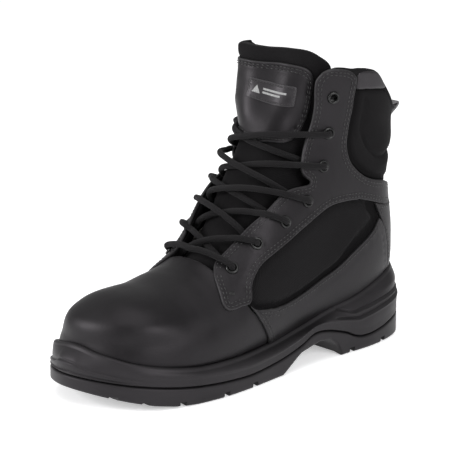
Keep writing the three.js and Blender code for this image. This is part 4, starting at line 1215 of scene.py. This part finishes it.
def frontSpot(x, z):
    spot = np.array([seamSpot(z, 0)])
    for _ in range(12):
        point = formPoint(spot)[0]
        miss = np.array([x - point[0], 0.0, z - point[2]])
        spot = moveOnForm(spot, miss[None, :], 1.0)
    return spot[0]


label = {"centre": (3.0, 191.5), "half": (18.0, 7.0), "corner": 1.6, "tilt": -0.10}


def labelRectangle(halfWide, halfHigh, corner, shift=(0, 0)):
    points = []
    for cx, cz, start in ((1, 1, 0), (-1, 1, 90), (-1, -1, 180), (1, -1, 270)):
        for step in range(5):
            turn = math.radians(start + step * 22.5)
            points.append((shift[0] + cx * (halfWide - corner) + corner * math.cos(turn),
                           shift[1] + cz * (halfHigh - corner) + corner * math.sin(turn)))
    dense = []
    for a, b in zip(points, points[1:] + points[:1]):
        count = max(int(math.dist(a, b) / 1.0), 1)
        dense += [(a[0] + (b[0] - a[0]) * k / count, a[1] + (b[1] - a[1]) * k / count) for k in range(count)]
    spots = []
    for x, z in dense:
        tilted = (label["centre"][0] + x, label["centre"][1] + z + label["tilt"] * x)
        spots.append(frontSpot(*tilted))
    return np.array(spots)


labelOutline = labelRectangle(*label["half"], label["corner"])


def labelShape(point, gap, height, depth):
    rise = tongueRise(point)
    return height + rise - 0.35 * np.exp(-((gap - 1.5) / 0.4) ** 2), depth + rise


def markShape(point, gap, height, depth):
    return height + tongueRise(point), depth + tongueRise(point)


labelPiece = cutPanel("tongue_label_patch", labelOutline, -7.2, -5.7, 0.5, grid=1.6, shape=labelShape)
dress(labelPiece, collarLeather, "tongue_flap", ("tongue_label",))

# a plain mark on the label: a small pointed shape and two bars
markParts = {"point": [(-14.2, -2.6), (-8.2, -2.6), (-11.2, 3.0)],
             "upperBar": [(-6.6, 0.5), (11.5, 0.5), (11.5, 1.9), (-6.6, 1.9)],
             "lowerBar": [(-6.6, -1.9), (7.0, -1.9), (7.0, -0.5), (-6.6, -0.5)]}
for partName, corners in markParts.items():
    dense = []
    for a, b in zip(corners, corners[1:] + corners[:1]):
        count = max(int(math.dist(a, b) / 0.8), 1)
        dense += [(a[0] + (b[0] - a[0]) * k / count, a[1] + (b[1] - a[1]) * k / count) for k in range(count)]
    spots = np.array([frontSpot(label["centre"][0] + x, label["centre"][1] + z + label["tilt"] * x) for x,
                      z in dense])
    printed = cutPanel("label_mark_" + partName, spots, -5.9, -5.55, 0.1, grid=1.2, shape=markShape)
    dress(printed, markFinish, "tongue_flap")
print("tongue ready")


# ---- stitches ----
def stitchMesh(name, centres, directions, normals, material, body, slot):
    profile = ((-0.5, 0.12), (-0.28, 0.85), (0.28, 0.85), (0.5, 0.12))
    turn = np.linspace(0, 2 * math.pi, 5, endpoint=False)
    acrossWay = np.cross(directions, normals)
    vertices, faces = [], []
    for centre, ahead, up, across in zip(centres, directions, normals, acrossWay):
        first = len(vertices)
        for along, wide in profile:
            bow = 0.16 * (1 - (2 * along) ** 2)
            middle = centre + ahead * along * stitch["length"] + up * bow
            for angle in turn:
                ring = up * math.cos(angle) + across * math.sin(angle)
                vertices.append(middle + ring * stitch["radius"] * wide)
        for ring in range(3):
            for k in range(5):
                n = (k + 1) % 5
                faces.append((first + ring * 5 + k, first + (ring + 1) * 5 + k, first + (ring + 1) * 5 + n,
                              first + ring * 5 + n))
        faces.append(tuple(first + k for k in range(5)))
        faces.append(tuple(first + 15 + k for k in range(5))[::-1])
    thing = newObject(name, vertices, faces)
    bpy.ops.object.select_all(action="DESELECT")
    bpy.context.view_layer.objects.active = thing
    thing.select_set(True)
    bpy.ops.object.mode_set(mode="EDIT")
    bpy.ops.mesh.select_all(action="SELECT")
    bpy.ops.mesh.normals_make_consistent(inside=False)
    bpy.ops.object.mode_set(mode="OBJECT")
    return dress(thing, material, body)


def seam(outline, row, height, keep=None, closed=True, raiseBy=None):
    # places for the stitches of one row, which runs inside an outline at a distance
    inward = inwardOf(outline, closed) * (turnedInwards(outline) if closed else 1)
    line = moveOnForm(outline, inward, row)
    point, normal, _, _ = formFrame(line)
    if closed:
        point = np.vstack([point, point[:1]])
        normal = np.vstack([normal, normal[:1]])
    run = runAlong(point)
    pitch = stitch["length"] + stitch["gap"]
    at = np.arange(pitch, run[-1] - pitch / 2, pitch)
    centre = np.stack([np.interp(at, run, point[:, k]) for k in range(3)], 1)
    up = np.stack([np.interp(at, run, normal[:, k]) for k in range(3)], 1)
    up /= np.linalg.norm(up, axis=1)[:, None]
    step = 0.4 * stitch["length"]
    ahead = (np.stack([np.interp(at + step, run, point[:, k]) for k in range(3)], 1)
             - np.stack([np.interp(at - step, run, point[:, k]) for k in range(3)], 1))
    ahead /= np.linalg.norm(ahead, axis=1)[:, None]
    fine = distanceToLine(centre, formPoint(outline), closed) > row * 0.86
    if keep is not None:
        fine &= keep(centre)
    lift = np.reshape(height + (raiseBy(centre) if raiseBy else 0.0), (-1, 1)) * np.ones((len(centre), 1))
    return (centre + up * lift)[fine], ahead[fine], up[fine]


def sew(name, rows, body="boot"):
    parts = [np.vstack([row[k] for row in rows]) for k in range(3)]
    stitchMesh(name, *parts, threadFinish, body, "textile")
    return len(parts[0])


count = 0
for sideName, side in sides.items():
    lines = sewingLines[sideName]
    onOverlay = panel["outer"] - 0.2
    awayFromBack = [seam(lines["facing"], row, onOverlay,
                         lambda p: p[:, 1] < 126 + 0 * p[:, 0]) for row in (2.3, 4.7)]
    count += sew("stitches_facing_" + sideName, awayFromBack)
    clear = lambda p: (p[:, 2] > heightAlong("feather", p[:, 1]) + 1.5) & (p[:, 1] < 108)
    front = lambda p: clear(p) & (p[:, 1] < -2) & (p[:, 2] < 56)
    quarterRows = [seam(lines["quarter"], 2.3, onOverlay, clear),
                   seam(lines["quarter"], 4.7, onOverlay, front)]
    count += sew("stitches_quarter_" + sideName, quarterRows)
backRows = [seam(backstay, 2.3, panel["outer"] - 0.05, lambda p: (p[:, 2] > 56) & (p[:, 1] < 133))]
count += sew("stitches_backstay", backRows)
panelRows = [seam(panelOutline, row, -7.5, raiseBy=tongueRise) for row in (2.2, 4.2)]
count += sew("stitches_tongue", panelRows, "tongue_flap")
stitch["length"], stitch["gap"], stitch["radius"] = 1.5, 0.6, 0.28
labelRows = [seam(labelOutline, 1.5, -5.95, raiseBy=tongueRise)]
count += sew("stitches_label", labelRows, "tongue_flap")
# the bar of close stitches low on each facing
for sideName, side in sides.items():
    centre = locate([(-42.5, 66.5)], side)
    point, normal, alongV, alongShare = (value[0] for value in formFrame(centre))
    across = np.cross(normal, np.array([0.0, 0.35, 1.0]))
    across /= np.linalg.norm(across)
    up = np.cross(across, normal)
    places, ways = [], []
    for k in range(7):
        places.append(point + normal * 2.1 + across * (k - 3) * 0.55)
        ways.append(up)
    stitch["length"] = 2.6
    stitchMesh("bar_tack_" + sideName, np.array(places), np.array(ways), np.tile(normal, (len(places), 1)),
               threadFinish, "boot", "textile")
print("stitches ready", count)

# ---- eyelets ----
eyelet = {"sides": 28,
          "profile": [(2.62, -1.7), (2.62, 2.2), (2.8, 2.95), (3.3, 3.25), (3.9, 3.2), (4.4, 2.85),
                                   (4.55, 2.35), (4.3, 2.1), (3.3, 2.05), (3.15, 1.6), (3.1, -1.7),
                      (2.62, -1.7)]}
bpy.ops.object.select_all(action="DESELECT")
firstRadius, firstHeight = eyelet["profile"][0]
bpy.ops.mesh.primitive_circle_add(vertices=eyelet["sides"], radius=firstRadius * mm,
                                  location=(0, 0, firstHeight * mm))
bpy.ops.object.transform_apply(location=True, rotation=True, scale=True)
pattern = bpy.context.object
bpy.ops.object.mode_set(mode="EDIT")
bpy.ops.mesh.select_all(action="SELECT")
for (r0, z0), (r1, z1) in zip(eyelet["profile"], eyelet["profile"][1:]):
    bpy.ops.mesh.extrude_edges_move()
    bpy.ops.transform.resize(value=(r1 / r0, r1 / r0, 1))
    bpy.ops.transform.translate(value=(0, 0, (z1 - z0) * mm))
bpy.ops.mesh.select_all(action="SELECT")
bpy.ops.mesh.remove_doubles(threshold=0.00002)
bpy.ops.mesh.normals_make_consistent(inside=False)
bpy.ops.object.mode_set(mode="OBJECT")
bpy.ops.object.shade_smooth_by_angle(angle=math.radians(50))
for sideName, side in sides.items():
    for index, spot in enumerate(eyeletSpots):
        point, normal, _, alongShare = (value[0] for value in formFrame(locate([spot], side)))
        across = alongShare / np.linalg.norm(alongShare)
        up = np.cross(normal, across)
        mesh = pattern.data.copy()
        coords = np.array([v.co[:] for v in mesh.vertices])
        coords = coords @ np.array([across, up, normal]) + point * mm
        mesh.vertices.foreach_set("co", coords.ravel())
        name = f"eyelet_ring_{sideName}_{index + 1}"
        ring = bpy.data.objects.new(name, mesh)
        mesh.name = name
        bpy.context.scene.collection.objects.link(ring)
        dress(ring, eyeletFinish, replaces=(f"eyelet_{sideName}_{index + 1}",))
bpy.data.objects.remove(pattern)
print("eyelets ready")

# ---- lace: the same route as the solid one ----
lace = {"radius": 2.2, "clearance": 0.3, "slack": 2.5, "bend": 3.0, "spacing": 1.0, "sides": 14, "low": -6.0,
        "high": -1.2, "sag": (0, -1.5, 1.5, 3.0, 4.5)}
flangeOuter, overlayOuter, baseInner, liningInner = 3.1, 2.0, -1.8, -5.4
overFlange = flangeOuter + lace["clearance"] + lace["radius"]
overLeather = overlayOuter + lace["clearance"] + lace["radius"] + 0.3
underLeather = baseInner - lace["clearance"] - lace["radius"] - lace["slack"] / 4


def spotPoint(spot, distance):
    return onForm(np.array([spot], float), distance)[0]


def throatSpot(index, side):
    y, z = eyeletSpots[index]
    best = None
    for (ay, az), (by, bz) in zip(throatEdge, throatEdge[1:]):
        share = ((y - ay) * (by - ay) + (z - az) * (bz - az)) / ((by - ay) ** 2 + (bz - az) ** 2)
        share = min(max(share, 0), 1)
        near = (ay + share * (by - ay), az + share * (bz - az))
        far = math.dist(near, (y, z))
        if best is None or far < best[0]:
            best = (far, near)
    return locate([best[1]], side)[0]


def eyeletBend(index, side, towards, level, sign):
    point, normal, _, _ = (value[0] for value in formFrame(locate([eyeletSpots[index]], side)))
    away = towards - point
    away -= normal * (away @ normal)
    away /= np.linalg.norm(away)
    start = level - sign * lace["bend"]
    points = []
    for share in (0, 0.5, 1):
        angle = share * math.pi / 2
        points.append(point + away * lace["bend"] * (1 - math.cos(angle))
                      + normal * (start + sign * lace["bend"] * math.sin(angle)))
    return points


def crossingSection(a, b):
    mean = (spotPoint(a, 0) + spotPoint(b, 0)) / 2
    low, high = 4.0, lastSection - 0.1
    for _ in range(30):
        v = (low + high) / 2
        front = spotPoint((v, 0), 0)
        upwards = spotPoint((v + 0.1, 0), 0) - front
        upwards = upwards / np.linalg.norm(upwards) + np.array([0, 0, 1.0])
        upwards[0] = 0
        if (front - mean) @ upwards < 0:
            low = v
        else:
            high = v
    return low


def acrossThroat(a, b, share, distance):
    middle = crossingSection(a, b)
    end = a if share < 0.5 else b
    toEnd = abs(share - 0.5) * 2
    return spotPoint((middle + (end[0] - middle) * toEnd, end[1] * toEnd), distance)


def tautSpots(start, end, middle):
    # the shortest way over the form between two spots, by way of a third
    share = np.linspace(0, 1, 25)[:, None]
    bow = 4 * share * (1 - share)
    spots = np.array(start) * (1 - share) + np.array(end) * share
    spots[:, 0] += bow[:, 0] * (middle - spots[12, 0])
    for _ in range(160):
        point = formPoint(spots)
        pull = np.zeros_like(point)
        pull[1:-1] = (point[:-2] + point[2:]) / 2 - point[1:-1]
        spots = moveOnForm(spots, pull, 0.6)
        spots[0], spots[-1] = start, end
    return spots


throatLines = {side: formPoint(formLine(throatEdge, side)) for side in (lateral, medial)}


def strand(fromIndex, fromSide, toSide, isLow):
    start = locate([eyeletSpots[fromIndex]], fromSide)[0]
    end = locate([eyeletSpots[fromIndex + 1]], toSide)[0]
    middle = crossingSection(throatSpot(fromIndex, fromSide), throatSpot(fromIndex + 1, toSide))
    spots = tautSpots(start, end, middle)
    share = np.linspace(0, 1, 25)
    spots[:, 0] -= lace["sag"][fromIndex] / 16 * 4 * share * (1 - share)
    point = formPoint(spots)
    run = runAlong(point)
    leaveAt = run[np.argmin([distanceToLine(point[k:k + 1], throatLines[fromSide],
                                            False)[0] if k < 12 else 1e9
                             for k in range(25)])]
    reachAt = run[np.argmin([distanceToLine(point[k:k + 1], throatLines[toSide], False)[0] if k > 12 else 1e9
                             for k in range(25)])]
    centre = (leaveAt + reachAt) / 2
    low, high = lace["low"], lace["high"]
    knots = [(0, underLeather), (leaveAt + 1, underLeather), (centre, low if isLow else high),
             (reachAt - 6.5, -1.2 if isLow else 1.8), (reachAt - 1.5, overLeather - 0.9),
             (reachAt + 2, overLeather),
             (run[-1], overFlange)]
    level = np.interp(run, *np.array(knots).T)
    path = onForm(spots, level)
    used = (run > lace["bend"] + 1.5) & (run < run[-1] - lace["bend"] - 1.5)
    crossing = list(path[used])
    leaving = eyeletBend(fromIndex, fromSide, crossing[0], underLeather, -1)
    reaching = eyeletBend(fromIndex + 1, toSide, crossing[-1], overFlange, 1)[::-1]
    return leaving + crossing + reaching


def tail(side):
    level = liningInner - lace["clearance"] - lace["radius"] - 0.4
    route = [spotPoint(locate([spot], side)[0], level) for spot in ((65, 155), (73, 141), (80, 124),
                                                                    (86, 107), (91, 90))]
    return eyeletBend(5, side, route[0], level, -1) + route


def halfLace(firstSide):
    points, side = [], firstSide
    for index in range(5):
        points += strand(index, side, -side, firstSide == lateral)
        side = -side
    return points + tail(side)


def baseBar():
    edges = [throatSpot(0, lateral), throatSpot(0, medial)]
    overs = [spotPoint(edge, overLeather + 0.2) for edge in edges]
    centre = [acrossThroat(edges[0], edges[1], share, overLeather) for share in (0.3, 0.5, 0.7)]
    starts = [eyeletBend(0, side, over, overFlange, 1) for side, over in zip((lateral, medial), overs)]
    return starts[0] + [overs[0]] + centre + [overs[1]] + starts[1][::-1]


laceRoute = np.array(halfLace(lateral)[::-1] + baseBar() + halfLace(medial))
gapAfter = np.linalg.norm(np.diff(laceRoute, axis=0), axis=1)
laceRoute = laceRoute[np.concatenate([[True], gapAfter > 0.4])]
# a centripetal curve keeps the tight bends at the eyelets round
knots = np.concatenate([[0], np.cumsum(np.linalg.norm(np.diff(laceRoute, axis=0), axis=1) ** 0.5)])
padded = np.vstack([2 * laceRoute[0] - laceRoute[1], laceRoute, 2 * laceRoute[-1] - laceRoute[-2]])
knots = np.concatenate([[knots[0] - (knots[1] - knots[0])], knots, [2 * knots[-1] - knots[-2]]])
fine = []
for k in range(1, len(padded) - 2):
    t0, t1, t2, t3 = knots[k - 1:k + 3]
    p0, p1, p2, p3 = padded[k - 1:k + 3]
    t = np.linspace(t1, t2, 16, endpoint=False)[:, None]
    a1 = (t1 - t) / (t1 - t0) * p0 + (t - t0) / (t1 - t0) * p1
    a2 = (t2 - t) / (t2 - t1) * p1 + (t - t1) / (t2 - t1) * p2
    a3 = (t3 - t) / (t3 - t2) * p2 + (t - t2) / (t3 - t2) * p3
    b1 = (t2 - t) / (t2 - t0) * a1 + (t - t0) / (t2 - t0) * a2
    b2 = (t3 - t) / (t3 - t1) * a2 + (t - t1) / (t3 - t1) * a3
    fine.append((t2 - t) / (t2 - t1) * b1 + (t - t1) / (t2 - t1) * b2)
fine = np.vstack(fine + [laceRoute[-1:]])
run = runAlong(fine)
even = np.linspace(0, run[-1], int(run[-1] / lace["spacing"]))
laceLine = np.stack([np.interp(even, run, fine[:, k]) for k in range(3)], 1)
for _ in range(2):
    laceLine[1:-1] = 0.5 * laceLine[1:-1] + 0.25 * (laceLine[:-2] + laceLine[2:])
tangents = np.gradient(laceLine, axis=0)
tangents /= np.linalg.norm(tangents, axis=1)[:, None]
firstAxis = np.zeros_like(laceLine)
axis = np.cross(tangents[0], [1.0, 0.2, 0.1])
for k, tangent in enumerate(tangents):
    axis = axis - tangent * (axis @ tangent)
    axis /= np.linalg.norm(axis)
    firstAxis[k] = axis
secondAxis = np.cross(tangents, firstAxis)
fade = np.minimum(np.arange(len(laceLine)), np.arange(len(laceLine))[::-1])
thick = lace["radius"] * (0.45 + 0.55 * smoothStep(fade, 0, 2.5))
lacePiece = tube("bootlace", laceLine, firstAxis, secondAxis, thick, thick, lace["sides"])
lacePoints = pointsOf(lacePiece)
around = np.tile(np.arange(lace["sides"]) * 2 * math.pi / lace["sides"], len(laceLine))
along = np.repeat(np.arange(len(laceLine)) * lace["spacing"], lace["sides"])
braid = 0.09 * np.cos(around * 2 + along * 1.9) * np.cos(around * 2 - along * 1.9)
outward = lacePoints - np.repeat(laceLine, lace["sides"], 0) * mm
outward /= np.maximum(np.linalg.norm(outward, axis=1), 1e-9)[:, None]
lacePiece.data.vertices.foreach_set("co", (lacePoints + outward * (braid * mm)[:, None]).ravel())
dress(lacePiece, laceFinish, replaces=("lace",))
laceLength = float(np.linalg.norm(np.diff(laceLine, axis=0), axis=1).sum()) * mm
turnAt = np.linalg.norm(np.cross(tangents[:-2], tangents[2:]), axis=1) / (2 * lace["spacing"])
print("lace", round(laceLength, 3), "m, tightest bend", round(float(1 / turnAt.max()), 2), "mm at",
      laceLine[int(turnAt.argmax()) + 1].round(1))

# ---- pull tab: a loop of webbing ----
tab = {"width": 17.6, "length": 24.5, "gap": 6.5, "webbing": 1.6, "lift": 25, "middle": -3.5, "pinch": 0.55}
tabRadius = (tab["gap"] + tab["webbing"]) / 2
tabPivot = onForm(np.array([[15.6, 1.0]]), 1.6 + tab["gap"] / 2 + tab["webbing"] + 0.3)[0]
straight = tab["length"] - 2 * (tab["gap"] / 2 + tab["webbing"])
profile = []
for step in range(15):
    turn = math.radians(-90 + step * 180 / 14)
    profile.append((straight + tabRadius * math.cos(turn), tabRadius * math.sin(turn)))
profile += [(straight * (1 - k / 6), tabRadius) for k in range(1, 6)]
for step in range(15):
    turn = math.radians(90 + step * 180 / 14)
    profile.append((tabRadius * math.cos(turn), tabRadius * math.sin(turn)))
profile += [(straight * k / 6, -tabRadius) for k in range(1, 6)]
profile = np.array(profile)
profile[:, 1] *= 1 - tab["pinch"] * smoothStep(profile[:, 0], 2, straight + tabRadius)
lift = math.radians(tab["lift"])
turned = np.column_stack([profile[:, 0] * math.cos(lift) - profile[:, 1] * math.sin(lift),
                          profile[:, 0] * math.sin(lift) + profile[:, 1] * math.cos(lift)])
widths = np.linspace(-tab["width"] / 2, tab["width"] / 2, 15)
vertices, faces, uvs = [], [], []
runAlong = runAlong(profile)
for k, (y, z) in enumerate(turned):
    for w in widths:
        vertices.append((tab["middle"] + w, tabPivot[1] + y, tabPivot[2] + z))
        uvs.append((w, runAlong[k]))
rowCount, rowSize = len(turned), len(widths)
for k in range(rowCount):
    n = (k + 1) % rowCount
    for w in range(rowSize - 1):
        faces.append((k * rowSize + w, n * rowSize + w, n * rowSize + w + 1, k * rowSize + w + 1))
tabPiece = newObject("pull_loop", vertices, faces, uvs)
bpy.ops.object.select_all(action="DESELECT")
bpy.context.view_layer.objects.active = tabPiece
tabPiece.select_set(True)
thickness = tabPiece.modifiers.new("thickness", "SOLIDIFY")
thickness.thickness = tab["webbing"] * mm * 0.94
thickness.offset = 0
bpy.ops.object.modifier_apply(modifier="thickness")
rounding = tabPiece.modifiers.new("rounding", "BEVEL")
rounding.width = 0.45 * mm
rounding.segments = 2
rounding.limit_method = "ANGLE"
bpy.ops.object.modifier_apply(modifier="rounding")
bpy.ops.object.mode_set(mode="EDIT")
bpy.ops.mesh.select_all(action="SELECT")
bpy.ops.mesh.normals_make_consistent(inside=False)
bpy.ops.object.mode_set(mode="OBJECT")
dress(tabPiece, tabFinish, "pull_tab", ("pull_tab",))

# ---- footbed ----
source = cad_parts["footbed"]
footbed = bpy.data.objects.new("footbed_cushion", source.data.copy())
bpy.context.scene.collection.objects.link(footbed)
footbed.parent = None
bpy.ops.object.select_all(action="DESELECT")
bpy.context.view_layer.objects.active = footbed
footbed.select_set(True)
merge = footbed.modifiers.new("merge", "WELD")
merge.merge_threshold = 0.00001
bpy.ops.object.modifier_apply(modifier="merge")
even = footbed.modifiers.new("even", "REMESH")
even.mode = "VOXEL"
even.voxel_size = 0.0016
even.use_smooth_shade = True
bpy.ops.object.modifier_apply(modifier="even")
soften = footbed.modifiers.new("soften", "SMOOTH")
soften.factor = 0.6
soften.iterations = 8
bpy.ops.object.modifier_apply(modifier="soften")
dress(footbed, footbedFinish, replaces=("footbed",))
print("pull tab and footbed ready")

# ---- floor and light ----
bpy.ops.object.select_all(action="DESELECT")
bpy.ops.mesh.primitive_plane_add(size=24)
floor = bpy.context.object
floor.name = "floor"
floor.data.materials.append(floorFinish)
world = bpy.data.worlds.new("studio")
bpy.context.scene.world = world
world.use_nodes = True
world.node_tree.nodes["Background"].inputs[0].default_value = (1, 1, 1, 1)
world.node_tree.nodes["Background"].inputs[1].default_value = 0.5
lights = {"over": {"place": (0.2, -0.3, 1.6), "size": 1.3, "power": 11},
          "left": {"place": (-0.8, -1.5, 0.75), "size": 0.7, "power": 27},
          "right": {"place": (1.6, -0.1, 0.8), "size": 0.9, "power": 20}}
for name, light in lights.items():
    data = bpy.data.lights.new(name, "AREA")
    data.energy = light["power"]
    data.size = light["size"]
    lamp = bpy.data.objects.new("light_" + name, data)
    lamp.location = light["place"]
    lamp.rotation_euler = (Vector((0, 0, 0.1)) - Vector(light["place"])).to_track_quat("-Z", "Y").to_euler()
    bpy.context.scene.collection.objects.link(lamp)
bpy.context.scene.view_settings.view_transform = "Standard"
